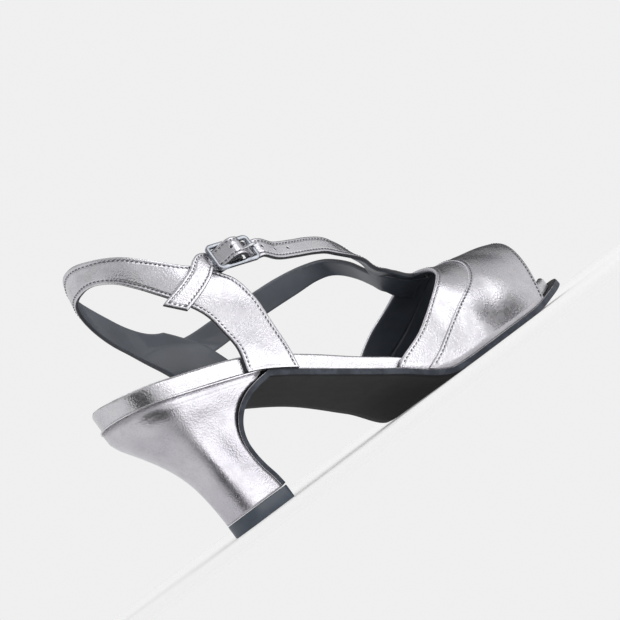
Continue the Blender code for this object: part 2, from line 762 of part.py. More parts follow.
def drawn_in(x, y, z):
    """A side of the ankle's face, drawn in to the insole's side towards the quarter's foot."""
    along = float(x_to_along(x))
    side = "outer" if y < 0 else "inner"
    _, edge = edge_point(x, side, float(insole_inset(along)) - GAP - UPPER_WALL)
    rim_top = float(insole_bottom(x)) + INSOLE_THICK
    pull = 1 - float(blend(rim_top - QUARTER_FULL_DRAW, rim_top + QUARTER_TOP_DRAW, z))
    return y + (edge - y) * pull


def sling_point(turn, z):
    """The sling's outer face, with the quarters meeting the insole."""
    x, y = ankle_point(turn, z)
    return x, y if abs(turn) < QUARTER_FROM else drawn_in(x, y, z), z


def make_sling(target):
    """The band of the two quarters and the heel sling, one wall all the way round."""
    rows = []
    for row in SLING_ROWS:
        named = dict(zip(SLING_COLUMNS, row))
        lower_z = named["lower_rise"] * SLING_HEIGHT
        upper_z = named["upper_rise"] * SLING_HEIGHT
        lower = sling_point(named["lower_turn"], lower_z)
        upper = sling_point(named["upper_turn"], upper_z)
        rows.append((*lower, *upper, named["lower_turn"], named["upper_turn"]))
    dense = through(rows, 64)
    grid = []
    for index, row in enumerate(dense):
        line = []
        for share in np.linspace(0, 1, 6):
            z = row[2] + (row[5] - row[2]) * share
            turn = row[6] + (row[7] - row[6]) * share
            point = list(sling_point(turn, z))
            if index in (0, len(dense) - 1):
                point[2] = float(insole_bottom(point[0]))
            line.append(point)
        grid.append(line)
    grid = np.array(grid)
    normals = outward(grid, grid_normals(grid), (ANKLE_CENTRE, 0, 90 * MM))
    inner = grid - normals * UPPER_WALL
    inner[0, :, 2] = grid[0, :, 2]
    inner[-1, :, 2] = grid[-1, :, 2]
    return wall_loft("sling_form", grid, inner, target)


def strap_edge(along, side, rise):
    x = along_to_x(along)
    y = side * BALL_WIDTH
    z = on_last(x, y) if rise is NONE else rise * INSTEP_HEIGHT
    return x, y, z


def make_instep_strap(target):
    """The strap from the inner quarter, widening to the stem that the vamp covers."""
    rows = []
    for row in INSTEP_STRAP:
        named = dict(zip(STRAP_COLUMNS, row))
        low = strap_edge(named["low_along"], named["low_side"], named["low_rise"])
        high = strap_edge(named["high_along"], named["high_side"], named["high_rise"])
        conform = 1.0 if named["low_rise"] is NONE else 0.0
        rows.append((*low, *high, named["sink"], conform, named["hug"]))
    dense = through(rows, 34)
    grid = []
    sinks = []
    for row in dense:
        low, high = row[:3], row[3:6]
        line = []
        for share in np.linspace(0, 1, 6):
            point = low + (high - low) * share
            lift = on_last(point[0], point[1]) - point[2]
            point[2] += lift * float(np.clip(row[7], 0, 1))
            quarter = drawn_in(point[0], ankle_breadth(1, point[2]), point[2])
            point[1] += (quarter - point[1]) * float(np.clip(row[8], 0, 1))
            line.append(point)
        grid.append(line)
        sinks.append(row[6])
    grid = np.array(grid)
    normals = outward(grid, grid_normals(grid), (along_to_x(0.5), 0, 30 * MM))
    sink = LAP * np.array(sinks)[:, None, None]
    return wall_loft("instep_form", grid - normals * sink,
                     grid - normals * (sink + UPPER_WALL), target)


def buckle_axes():
    """The buckle's centre and its directions: along the strap to the toe, across and out."""
    centre = np.array([along_to_x(BUCKLE_ALONG), BUCKLE_SIDE * BALL_WIDTH,
                       BUCKLE_RISE * INSTEP_HEIGHT])
    dip = math.radians(BUCKLE_DIP)
    along = np.array([math.cos(dip), 0, -math.sin(dip)])
    level = np.array([0, -1.0, 0])
    up = np.cross(level, along)
    lean = math.radians(BUCKLE_LEAN)
    out = math.sin(lean) * level + math.cos(lean) * up
    across = np.cross(out, along)
    return centre, along, across, out


def thread_clearance(share):
    """The strap's middle off the plane of the bars, over or under them."""
    over = BAR / 2 + GAP + ELASTIC_THICK + GAP + PRONG * 0.4 + UPPER_WALL / 2
    under = BAR / 2 + GAP + UPPER_WALL / 2
    return over * share if share > 0 else under * share


def fastener_line():
    """The fastening strap's middle line from the vamp to its tip: place, face normal, sink."""
    line = []
    for along, side, sink in FASTENER_ON_LAST:
        x = along_to_x(along)
        y = side * BALL_WIDTH
        z = on_last(x, y)
        step = MM
        slope_x = (on_last(x + step, y) - on_last(x - step, y)) / (2 * step)
        slope_y = (on_last(x, y + step) - on_last(x, y - step)) / (2 * step)
        normal = np.array([-slope_x, -slope_y, 1.0])
        normal /= np.linalg.norm(normal)
        place = np.array([x, y, z]) - normal * (LAP * sink + UPPER_WALL / 2)
        line.append((*place, *normal))
    for along, side, rise, lean in FASTENER_FREE:
        lean = math.radians(lean)
        line.append((along_to_x(along), side * BALL_WIDTH, rise * INSTEP_HEIGHT,
                     0.0, -math.sin(lean), math.cos(lean)))
    centre, forward, _, out = buckle_axes()
    for along, over in THREAD_ROWS:
        place = centre + forward * along * BUCKLE_LENGTH / 2 + out * thread_clearance(over)
        line.append((*place, *out))
    for along, side, rise, lean in TAIL_ROWS:
        lean = math.radians(lean)
        line.append((along_to_x(along), side * BALL_WIDTH, rise * INSTEP_HEIGHT,
                     0.0, -math.sin(lean), math.cos(lean)))
    return line


def make_fastener(target):
    """The fastening strap: one ribbon from the vamp, through the buckle to its pointed end."""
    dense = through(fastener_line(), 84)
    middle = dense[:, :3]
    forward = np.gradient(middle, axis=0)
    forward /= np.linalg.norm(forward, axis=1, keepdims=True)
    normal = dense[:, 3:6]
    normal = normal - forward * (normal * forward).sum(1, keepdims=True)
    normal /= np.linalg.norm(normal, axis=1, keepdims=True)
    across = np.cross(forward, normal)
    across *= np.sign(across[-1, 2])
    shares = np.linspace(-0.5, 0.5, 4)
    grid = middle[:, None] + across[:, None] * shares[None, :, None] * STRAP_WIDTH
    run_on = np.clip(1 - np.arange(len(middle))[::-1] / 3, 0, 1)[:, None, None]
    slant = (0.5 + shares)[None, :, None] * TAIL_CUT
    grid = grid + forward[:, None] * slant * run_on
    half = normal[:, None] * UPPER_WALL / 2
    return wall_loft("fastener_form", grid + half, grid - half, target)


def frame_matrix():
    centre, along, across, out = buckle_axes()
    matrix = np.eye(4)
    matrix[:3, 0] = along
    matrix[:3, 1] = across
    matrix[:3, 2] = out
    matrix[:3, 3] = centre
    return [list(row) for row in matrix]


def tube_object(name, runs, radius, target, cyclic=False, resolution=2):
    """A wire as a curve with a round bevel, turned into a mesh in place."""
    curve = bpy.data.curves.new(name, "CURVE")
    curve.dimensions = "3D"
    curve.bevel_depth = radius
    curve.bevel_resolution = resolution
    curve.use_fill_caps = True
    for run in runs:
        spline = curve.splines.new("POLY")
        spline.points.add(len(run) - 1)
        for point, place in zip(spline.points, run):
            point.co = (*place, 1)
        spline.use_cyclic_u = cyclic
    obj = bpy.data.objects.new(name + "_curve", curve)
    target.objects.link(obj)
    graph = bpy.context.evaluated_depsgraph_get()
    mesh = bpy.data.meshes.new_from_object(obj.evaluated_get(graph))
    bpy.data.objects.remove(obj, do_unlink=True)
    weld(mesh)
    made = bpy.data.objects.new(name, mesh)
    target.objects.link(made)
    return made


def weld(mesh):
    work = bmesh.new()
    work.from_mesh(mesh)
    bmesh.ops.remove_doubles(work, verts=work.verts, dist=1e-6)
    bmesh.ops.recalc_face_normals(work, faces=work.faces)
    work.to_mesh(mesh)
    work.free()


def make_buckle(target, tools):
    """The frame: a rounded oblong of wire with a bar across its middle."""
    half_length = BUCKLE_LENGTH / 2 - BAR / 2
    half_breadth = BUCKLE_WIDTH / 2 - BAR / 2
    corner = BUCKLE_CORNER
    run = []
    for sx, sy, start in ((1, 1, 0), (-1, 1, 90), (-1, -1, 180), (1, -1, 270)):
        for turn in (0, 30, 60, 90):
            angle = math.radians(start + turn)
            run.append((sx * (half_length - corner) + corner * math.cos(angle),
                        sy * (half_breadth - corner) + corner * math.sin(angle), 0))
    frame = tube_object("buckle_frame", [run], BAR / 2, target, cyclic=True)
    bar = tube_object("centre_bar_form", [[(0, -half_breadth, 0), (0, half_breadth, 0)]],
                      BAR / 2 * CENTRE_BAR_SHARE, tools)
    frame.matrix_world = Matrix(frame_matrix())
    bar.matrix_world = Matrix(frame_matrix())
    join(frame, [bar], "UNION")
    hide_tool(bar)
    frame.data.materials.append(principled("gunmetal", (0.30, 0.31, 0.33), 0.28, 1.0))
    smooth_shade(frame, 40)
    return frame


def make_prong(target):
    """The prong: curled round the centre bar, out through the strap and over the front bar."""
    curl = BAR / 2 + GAP + PRONG / 2
    run = []
    for turn in range(60, 331, 30):
        angle = math.radians(turn)
        run.append((curl * math.cos(angle), 0, curl * math.sin(angle)))
    rest = BAR / 2 + GAP + PRONG / 2
    front = BUCKLE_LENGTH / 2 - BAR / 2
    run.append((curl + 1.0 * MM, 0, -0.1 * MM))
    run.append((front - PRONG_FLAT, 0, rest))
    run.append((front + PRONG_REACH, 0, rest))
    prong = tube_object("buckle_prong", [run], PRONG / 2, target)
    prong.matrix_world = Matrix(frame_matrix())
    prong.data.materials.append(principled("gunmetal_prong", (0.34, 0.35, 0.37), 0.26, 1.0))
    smooth_shade(prong, 40)
    return prong


def make_elastic(target, tools):
    """The ribbed elastic that holds the centre bar to the quarter: a loop and a flat tail."""
    inner = BAR / 2 + GAP
    outer = inner + ELASTIC_THICK
    turns = [math.radians(turn) for turn in range(-120, 121, 20)]
    loop = [(outer * math.cos(turn), outer * math.sin(turn)) for turn in turns]
    loop += [(-outer - 1.2 * MM, 0.2 * MM), (-outer - 2.6 * MM, -1.6 * MM),
             (-outer - 2.6 * MM, -1.8 * MM - 2 * ELASTIC_THICK), (-outer, -outer - 0.9 * MM)]
    hole = [(inner * math.cos(turn), inner * math.sin(turn)) for turn in turns]
    hole.append((-inner - 1.2 * MM, -0.4 * MM))
    obj = extruded("elastic_loop", loop, ELASTIC_WIDTH / 2, target)
    bore = extruded("elastic_bore", hole, ELASTIC_WIDTH, tools)
    slot = box("elastic_slot", ELASTIC_SLOT_CENTRE, ELASTIC_SLOT, tools)
    for piece in (obj, bore, slot):
        piece.matrix_world = Matrix(frame_matrix())
    tail = make_elastic_tail(tools)
    join(obj, [bore, slot], "DIFFERENCE")
    join(obj, [tail], "UNION")
    for tool in (bore, slot, tail):
        hide_tool(tool)
    obj.data.materials.append(principled("dark_elastic", (0.03, 0.032, 0.04), 0.8, 0.0))
    smooth_shade(obj, 40)
    return obj


def make_elastic_tail(tools):
    """The elastic's two plies from the bar back and in behind the quarter's top edge."""
    centre, along, across, out = buckle_axes()
    x, y, z = sling_point(ELASTIC_SEAT_TURN, ELASTIC_SEAT_RISE * SLING_HEIGHT)
    upright = across * (1, 0, 1)
    stations = (
        (centre - along * 3.9 * MM - out * 2.9 * MM, across, out),
        (centre - along * 8.8 * MM - out * 6.2 * MM, upright, np.array([0, -1.0, 0])),
        (np.array([x, y + UPPER_WALL + GAP + ELASTIC_THICK, z]), upright, np.array([0, -1.0, 0])),
    )
    rings = []
    for place, side, face in stations:
        side = side / np.linalg.norm(side) * ELASTIC_WIDTH / 2 * 0.94
        thick = face * ELASTIC_THICK * 0.9
        rings.append([place + side * a + thick * b for a, b in ((-1, -1), (1, -1), (1, 1), (-1, 1))])
    return ring_loft("elastic_tail_form", rings, tools)


def extruded(name, outline, half, target):
    """A flat outline in x, z drawn out along y both ways."""
    rings = [[(x, y, z) for x, z in outline] for y in (-half, half)]
    return ring_loft(name, rings, target)


def box(name, centre, size, target):
    corners = [(-1, -1), (1, -1), (1, 1), (-1, 1)]
    rings = []
    for z in (-0.5, 0.5):
        rings.append([(centre[0] + sx * size[0] / 2, centre[1] + sy * size[1] / 2,
                       centre[2] + z * size[2]) for sx, sy in corners])
    return ring_loft(name, rings, target)


def make_upper(target, tools):
    """The whole upper as one wall: vamp, instep strap, fastening strap, quarters and sling."""
    upper = make_vamp(target)
    straps = [make_instep_strap(tools), make_sling(tools), make_fastener(tools)]
    join(upper, straps, "UNION")
    hole = box("prong_hole", PRONG_HOLE_CENTRE, PRONG_HOLE, tools)
    hole.matrix_world = Matrix(frame_matrix())
    join(upper, [hole], "DIFFERENCE")
    for tool in [*straps, hole]:
        hide_tool(tool)
    upper.data.materials.append(principled("pewter_leather", (0.50, 0.49, 0.51), 0.34, 0.9))
    smooth_shade(upper, 40)
    return upper


def main():
    clear_scene()
    sandal = bpy.data.collections.new("heeled_sandal")
    tools = bpy.data.collections.new("heeled_sandal_tools")
    bpy.context.scene.collection.children.link(sandal)
    bpy.context.scene.collection.children.link(tools)
    make_outsole(sandal)
    make_heel(sandal)
    make_heel_tip(sandal)
    make_insole(sandal)
    make_upper(sandal, tools)
    make_buckle(sandal, tools)
    make_prong(sandal)
    make_elastic(sandal, tools)


main()
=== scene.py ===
"""Dresses the heeled peep-toe sandal: pewter leather, dark lining, suede sole, buckle and stitches.

Metres, +Z up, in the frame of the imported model: the toe points to +X and +Y is the inner side.
"""

import math

import bpy
import numpy as np
from mathutils import Matrix, Vector


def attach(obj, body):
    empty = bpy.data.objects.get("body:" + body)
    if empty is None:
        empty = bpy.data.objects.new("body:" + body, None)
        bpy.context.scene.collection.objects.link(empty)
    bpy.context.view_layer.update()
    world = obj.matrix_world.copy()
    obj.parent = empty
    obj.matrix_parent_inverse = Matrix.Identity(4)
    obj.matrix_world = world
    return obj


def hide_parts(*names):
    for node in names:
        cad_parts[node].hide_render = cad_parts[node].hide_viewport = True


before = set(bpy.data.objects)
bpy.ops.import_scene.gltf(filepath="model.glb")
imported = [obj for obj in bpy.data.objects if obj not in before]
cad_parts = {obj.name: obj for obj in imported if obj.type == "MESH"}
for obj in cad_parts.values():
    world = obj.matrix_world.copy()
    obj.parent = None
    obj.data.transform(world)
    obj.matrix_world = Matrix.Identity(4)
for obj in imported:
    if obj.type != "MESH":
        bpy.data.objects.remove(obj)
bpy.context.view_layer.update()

MM = 0.001
NONE = None

# Sizes of the sandal, as in the part
SOLE_LENGTH = 229.0 * MM
BALL_WIDTH = 74.5 * MM
HEEL_LIFT = 64.9 * MM
HEEL_OVERHANG = 36.5 * MM
TOE_SWING = 2.0 * MM
OUTSOLE_THICK = 2.8 * MM
BREAST_THICK = 2.4 * MM
GAP = 0.3 * MM
INSOLE_THICK = 8.2 * MM
INSOLE_DISH = 1.0 * MM
INSOLE_ROUND = 1.7 * MM
INSOLE_EASE = 0.25 * MM
DISH_REACH = 12.0 * MM
TOE_TAPER = 14.0 * MM              # the insole thins over this length to its front end
TOE_THINNED = 0.62                 # by this share of its thickness
TIP_FRONT = 10.8 * MM
TIP_LENGTH = 26.3 * MM
TIP_THICK = 6.0 * MM
TIP_FRONT_WIDTH = 20.0 * MM
TIP_WIDTH = 21.6 * MM
SEAT_REACH = 62.3 * MM
BACK_GATHER = 0.9
SWELL_BY = 0.45
BACK_TURN_FROM = 0.62
SEAT_TURN_SOONER = 0.14
BACK_TURN_POWER = 2.15
UPPER_WALL = 1.8 * MM
OVERLAY_STEP = 0.7 * MM
LAP = 0.9 * MM
VAMP_SETBACK = 0.5 * MM
INSTEP_HEIGHT = 101.0 * MM
SLING_HEIGHT = 128.5 * MM
SLING_BREADTH = 27.2 * MM
SLING_INNER_BREADTH = 28.4 * MM
SLING_DEPTH = 39.6 * MM
ANKLE_CENTRE = 30.0 * MM
OUTER_SQUARENESS = 0.86
INNER_SQUARENESS = 0.76
STRAP_WIDTH = 8.9 * MM
LAP_SHOWS = 0.05 * MM              # the instep strap's back over the quarter's lining
FOOT_CROWDING = 0.8
QUARTER_TOP_DRAW = 26.0 * MM
QUARTER_FULL_DRAW = 1.5 * MM
QUARTER_FROM = 60.0
SLING_CURL = 0.05
SLING_CURL_FROM = 0.90
BUCKLE_LENGTH = 21.5 * MM
BUCKLE_WIDTH = 13.4 * MM
BAR = 1.9 * MM
PRONG = 1.3 * MM
BUCKLE_CORNER = 1.6 * MM
CENTRE_BAR_SHARE = 0.9             # its wire beside the frame's
PRONG_REACH = 1.6 * MM
PRONG_FLAT = 1.5 * MM
ELASTIC_THICK = 1.2 * MM

# Leather: the size of its pebbles and the height of its grain
PEBBLE = 0.8 * MM
GRAIN_RELIEF = 0.065 * MM

# Punched holes: radius and height of each ring in mm, and places past the prong's hole
HOLE_SIDES = 20
HOLE_RINGS = ((0.30, 0.02), (0.72, 0.02), (0.82, 0.14), (0.95, 0.15), (1.10, 0.02), (1.10, -0.10))
HOLE_PLACES = (3.2 * MM, -17 * MM, -25 * MM, -33 * MM)

# Sewing
STITCH_PITCH = 1.9 * MM
STITCH_LENGTH = 1.45 * MM
STITCH_WIDTH = 0.5 * MM
STITCH_INSET = 1.5 * MM
RIM_STEPS = 6
CUT_EDGE = (0, 2, 2, 2, 1, 1)      # finishes round the edge: leather, paint, lining
FOLDED_EDGE = (0, 0, 0, 0, 1, 1)   # leather turned over the edge
EDGE_BULGE = 0.22 * MM

SOLE_COLUMNS = ("along", "height", "outer", "inner")
SOLE_ROWS = (
    (0.000, 1.000, 0.680, 0.660),
    (0.022, 0.978, 0.653, 0.635),
    (0.052, 0.948, 0.602, 0.588),
    (0.099, 0.902, 0.510, 0.500),
    (0.125, 0.877, 0.463, 0.453),
    (0.264, 0.730, 0.350, 0.338),
    (0.304, 0.661, 0.337, 0.291),
    (0.383, 0.497, 0.317, 0.237),
    (0.503, 0.223, 0.354, 0.320),
    (0.602, 0.009, 0.428, 0.467),
    (0.637, 0.000, 0.470, 0.521),
    (0.702, 0.000, 0.534, 0.551),
    (0.811, 0.000, 0.595, 0.523),
    (0.900, 0.034, 0.589, 0.551),
    (1.000, 0.080, 0.530, 0.501),
)
INSOLE_COLUMNS = ("along", "inset", "thick")
INSOLE_ROWS = (
    (0.00, 0.30, 1.00),
    (0.37, 0.30, 0.97),
    (0.47, 1.00, 0.90),
    (0.62, 1.25, 0.84),
    (0.70, 1.25, 0.80),
    (0.85, 1.02, 0.74),
    (1.00, 1.75, 0.66),
)
HEEL_COLUMNS = ("front", "front_height", "back", "back_height", "breast", "widest", "seat")
HEEL_ROWS = (
    (0.584, 0.737, -0.988, 0.965, 1.000, 0.990, 1.00),
    (0.386, 0.710, -0.932, 0.899, 0.940, 0.900, 0.85),
    (0.231, 0.653, -0.795, 0.790, 0.830, 0.760, 0.50),
    (0.130, 0.567, -0.655, 0.674, 0.715, 0.635, 0.24),
    (0.092, 0.467, -0.545, 0.556, 0.620, 0.545, 0.08),
    (0.107, 0.368, -0.475, 0.437, 0.550, 0.490, 0.02),
    (0.153, 0.264, -0.442, 0.316, 0.490, 0.465, 0.00),
    (0.208, 0.174, -0.427, 0.200, 0.450, 0.460, 0.00),
    (0.236, 0.097, -0.419, 0.097, 0.430, 0.465, 0.00),
)
RIDGE_COLUMNS = ("along", "height", "inward")
RIDGE_ROWS = (
    (0.473, 1.000, 0.02),
    (0.563, 0.830, 0.04),
    (0.622, 0.692, 0.05),
    (0.681, 0.571, 0.06),
    (0.741, 0.462, 0.07),
    (0.792, 0.423, 0.07),
    (0.841, 0.402, 0.07),
    (0.891, 0.382, 0.06),
    (0.931, 0.352, 0.05),
    (1.000, 0.228, 0.03),
)
LAST_SQUARENESS = 2.35
VAMP_COLUMNS = ("ridge", "outer_foot", "inner_foot", "turn")
VAMP_REAR = (0.742, 0.512, 0.515, 2.8)
VAMP_SEAM = (0.798, 0.558, 0.560, 3.2)
VAMP_FRONT = (0.928, 0.861, 0.863, 2.1)
SLING_COLUMNS = ("lower_turn", "lower_rise", "upper_turn", "upper_rise")
SLING_ROWS = (
    (-78.0, 0.407, -117.0, 0.326),
    (-82.0, 0.486, -120.0, 0.405),
    (-80.0, 0.560, -119.0, 0.506),
    (-77.0, 0.623, -117.0, 0.591),
    (-72.0, 0.673, -111.0, 0.669),
    (-66.0, 0.720, -98.0, 0.732),
    (-58.0, 0.773, -83.0, 0.802),
    (-48.0, 0.833, -69.0, 0.875),
    (-36.0, 0.886, -53.0, 0.942),
    (-20.0, 0.918, -30.0, 0.988),
    (0.0, 0.922, 0.0, 1.008),
    (20.0, 0.891, 30.0, 0.957),
    (34.0, 0.844, 49.0, 0.903),
    (46.0, 0.790, 63.0, 0.840),
    (56.0, 0.739, 75.0, 0.767),
    (65.0, 0.689, 86.0, 0.704),
    (72.0, 0.630, 100.0, 0.646),
    (78.0, 0.564, 116.0, 0.568),
    (82.0, 0.482, 123.0, 0.440),
    (78.0, 0.407, 117.0, 0.335),
)
ANKLE_COLUMNS = ("rise", "breadth")
ANKLE_ROWS = (
    (0.30, 0.90),
    (0.50, 0.95),
    (0.70, 1.00),
    (0.85, 0.95),
    (1.00, 0.84),
)
STRAP_COLUMNS = (
    "low_along", "low_side", "low_rise", "high_along", "high_side", "high_rise", "sink", "hug")
INSTEP_STRAP = (
    (0.289, 0.352, 0.680, 0.266, 0.372, 0.825, 1.0, 1.0),
    (0.349, 0.350, 0.680, 0.329, 0.370, 0.800, 1.0, 1.0),
    (0.408, 0.352, 0.686, 0.398, 0.358, 0.797, 0.5, 0.3),
    (0.500, 0.350, 0.688, 0.490, 0.337, 0.793, 0.0, 0.0),
    (0.578, 0.349, 0.684, 0.560, 0.325, 0.787, 0.0, 0.0),
    (0.634, 0.335, 0.682, 0.615, 0.297, 0.769, 0.0, 0.0),
    (0.662, 0.310, 0.668, 0.648, 0.258, 0.744, 0.0, 0.0),
    (0.682, 0.275, 0.635, 0.664, 0.210, 0.712, 0.0, 0.0),
    (0.697, 0.235, 0.583, 0.677, 0.140, 0.655, 0.0, 0.0),
    (0.709, 0.195, 0.520, 0.687, 0.060, 0.572, 0.4, 0.0),
    (0.720, 0.195, NONE, 0.702, 0.010, NONE, 1.0, 0.0),
    (0.737, 0.225, NONE, 0.728, 0.015, NONE, 1.2, 0.0),
    (0.776, 0.262, NONE, 0.776, 0.020, NONE, 1.3, 0.0),
)
FASTENER_ON_LAST = (
    (0.766, 0.040, 0.65),
    (0.731, 0.035, 0.55),
    (0.703, 0.020, 0.40),
)
FASTENER_FREE = (
    (0.671, -0.034, 0.566, 31.0),
    (0.646, -0.081, 0.635, 34.0),
    (0.624, -0.121, 0.684, 44.0),
    (0.600, -0.154, 0.727, 55.0),
    (0.573, -0.188, 0.768, 64.0),
    (0.538, -0.228, 0.798, 68.0),
    (0.493, -0.275, 0.827, 68.0),
    (0.450, -0.315, 0.860, 68.0),
)
BUCKLE_ALONG = 0.357
BUCKLE_SIDE = -0.385
BUCKLE_RISE = 0.948
BUCKLE_LEAN = 70.0
BUCKLE_DIP = 15.0
THREAD_ROWS = (
    (1.35, -1.0),
    (0.89, -1.15),
    (0.50, -0.05),
    (0.24, 0.80),
    (0.00, 1.0),
    (-0.24, 0.80),
    (-0.50, -0.05),
    (-0.89, -1.15),
    (-1.30, -0.45),
)
TAIL_ROWS = (
    (0.270, -0.397, 0.950, 72.0),
    (0.235, -0.402, 0.922, 74.0),
    (0.196, -0.395, 0.900, 76.0),
)
TAIL_CUT = 4.5 * MM

# Studio: the lens; the camera's place and its directions, ahead and to its right, which roll it as
# in the photo; the paper's and the ceiling's brightness; soft lights by azimuth, height, distance, width,
# height of the panel and brightness; cards that only the gloss sees, by their corners and glow
LENS = 208.35
SENSOR = 36
CAMERA_PLACE = (-0.78582, -1.25061, 0.015)
CAMERA_FORWARD = (0.56860452, 0.82210341, 0.02889431)
CAMERA_RIGHT = (0.67008877, -0.4425184, -0.59595176)
PAPER = 0.868
ZENITH = 0.52
FLOOR_LIFT = 0.175
SOFT_LIGHTS = (
    ("side_softbox", 306, 30, 1.1, 0.75, 0.50, 1.75),
    ("low_softbox", 303, 5, 0.9, 0.62, 0.30, 1.6),
    ("top_softbox", 60, 68, 1.2, 0.8, 0.8, 1.6),
)
CARDS = (
    ("flag_camera_side", ((-0.26, -0.16, 0), (-0.08, -0.30, 0), (-0.08, -0.30, 0.17),
                          (-0.26, -0.16, 0.17)), 0.0),
    ("flag_forefoot", ((0.15, -0.09, 0), (0.36, -0.14, 0), (0.36, -0.14, 0.05),
                       (0.15, -0.09, 0.04)), 0.0),
    ("flag_toe_side", ((0.62, 0.12, 0.03), (0.40, 0.44, 0.03), (0.40, 0.44, 0.34),
                       (0.62, 0.12, 0.34)), 0.0),
    ("flag_floor", ((-0.20, -0.03, 0.001), (-0.02, -0.05, 0.001), (0.0, -0.26, 0.001),
                    (-0.20, -0.26, 0.001)), 0.0),
    ("white_floor_card", ((0.0, -0.05, 0.001), (0.12, -0.05, 0.001), (0.12, -0.24, 0.001),
                          (0.0, -0.24, 0.001)), 2.2),
)

# Soft troughs (below zero) and ridges pressed into the leather: two ends of each, how wide, how deep
VAMP_CREASES = (
    ((0.62, -0.52, 0.10), (0.66, -0.43, 0.26), 3.6, -0.34),
    ((0.68, -0.55, 0.06), (0.71, -0.45, 0.24), 3.2, 0.22),
    ((0.72, -0.56, 0.05), (0.76, -0.44, 0.25), 3.8, -0.36),
    ((0.79, -0.57, 0.05), (0.80, -0.46, 0.22), 3.0, 0.24),
    ((0.84, -0.56, 0.05), (0.84, -0.45, 0.20), 3.4, -0.28),
    ((0.66, 0.55, 0.08), (0.70, 0.46, 0.24), 3.6, -0.30),
    ((0.73, 0.56, 0.05), (0.76, 0.47, 0.24), 3.2, 0.22),
    ((0.80, 0.55, 0.05), (0.81, 0.46, 0.22), 3.4, -0.28),
    ((0.83, -0.20, 0.40), (0.88, -0.34, 0.30), 6.0, -0.30),
    ((0.82, 0.22, 0.40), (0.88, 0.36, 0.30), 6.0, -0.28),
)
QUARTER_CREASES = (
    ((0.31, -0.34, 0.50), (0.29, -0.35, 0.60), 2.6, -0.30),
    ((0.37, -0.34, 0.47), (0.36, -0.36, 0.58), 2.8, -0.26),
    ((0.42, -0.34, 0.45), (0.43, -0.36, 0.55), 2.4, 0.20),
    ((0.24, -0.37, 0.98), (0.30, -0.38, 0.80), 5.0, 0.35),
    ((0.31, 0.33, 0.50), (0.29, 0.35, 0.60), 2.6, -0.28),
    ((0.38, 0.33, 0.47), (0.38, 0.36, 0.58), 2.8, -0.26),
)
STRAP_CREASES = (
    ((0.455, -0.30, 0.88), (0.450, -0.32, 0.80), 1.6, -0.18),
    ((0.600, -0.13, 0.76), (0.605, -0.17, 0.70), 1.8, -0.15),
)


def column(rows, columns, name):
    return [row[columns.index(name)] for row in rows]


def flowing(places, values, at):
    """A curve through the values that never overshoots them."""
    places = np.asarray(places, float)
    values = np.asarray(values, float)
    steps = np.diff(places)
    slopes = np.diff(values) / steps
    bends = np.zeros(len(places))
    bends[0] = slopes[0]
    bends[-1] = slopes[-1]
    for i in range(1, len(slopes)):
        before, after = slopes[i - 1], slopes[i]
        if before * after > 0:
            near = 2 * steps[i] + steps[i - 1]
            far = steps[i] + 2 * steps[i - 1]
            bends[i] = (near + far) / (near / before + far / after)
    at = np.clip(np.asarray(at, float), places[0], places[-1])
    i = np.clip(np.searchsorted(places, at, side="right") - 1, 0, len(steps) - 1)
    t = (at - places[i]) / steps[i]
    return (
        (1 + 2 * t) * (1 - t) ** 2 * values[i]
        + t * (1 - t) ** 2 * steps[i] * bends[i]
        + t**2 * (3 - 2 * t) * values[i + 1]
        + t**2 * (t - 1) * steps[i] * bends[i + 1]
    )


def through(points, count):
    """Count points on a smooth curve through rows of any width, evenly by chord."""
    points = np.asarray(points, float)
    chords = np.linalg.norm(np.diff(points[:, :3], axis=0), axis=1) ** 0.5
    knots = np.concatenate([[0], np.cumsum(chords)])
    padded = np.vstack([2 * points[0] - points[1], points, 2 * points[-1] - points[-2]])
    ends = np.concatenate([[-chords[0]], knots, [knots[-1] + chords[-1]]])
    out = []
    for spot in np.linspace(0, knots[-1], count):
        i = int(np.clip(np.searchsorted(knots, spot, side="right") - 1, 0, len(chords) - 1))
        a, b, c, d = padded[i:i + 4]
        ta, tb, tc, td = ends[i:i + 4]
        ab = (tb - spot) / (tb - ta) * a + (spot - ta) / (tb - ta) * b
        bc = (tc - spot) / (tc - tb) * b + (spot - tb) / (tc - tb) * c
        cd = (td - spot) / (td - tc) * c + (spot - tc) / (td - tc) * d
        left = (tc - spot) / (tc - ta) * ab + (spot - ta) / (tc - ta) * bc
        right = (td - spot) / (td - tb) * bc + (spot - tb) / (td - tb) * cd
        out.append((tc - spot) / (tc - tb) * left + (spot - tb) / (tc - tb) * right)
    return np.array(out)


def blend(low, high, value):
    t = np.clip((value - low) / (high - low), 0, 1)
    return t * t * (3 - 2 * t)


def along_to_x(along):
    return SOLE_LENGTH * along - HEEL_OVERHANG


def x_to_along(x):
    return (np.asarray(x) + HEEL_OVERHANG) / SOLE_LENGTH


def sole_column(name, along):
    return flowing(column(SOLE_ROWS, SOLE_COLUMNS, "along"),
                   column(SOLE_ROWS, SOLE_COLUMNS, name), along)


def sole_bottom(x):
    return HEEL_LIFT * sole_column("height", x_to_along(x))


def insole_bottom(x):
    step = 0.5 * MM
    slope = (sole_bottom(x + step) - sole_bottom(x - step)) / (2 * step)
    return sole_bottom(x) + OUTSOLE_THICK * np.sqrt(1 + slope**2) + GAP


def half_width(x, side):
    along = np.clip(x_to_along(x), 0, 1)
    return 2 * np.sqrt(along * (1 - along)) * BALL_WIDTH * sole_column(side, along)


def centre_line(x):
    return TOE_SWING * np.clip(x_to_along(x), 0, 1) ** 2


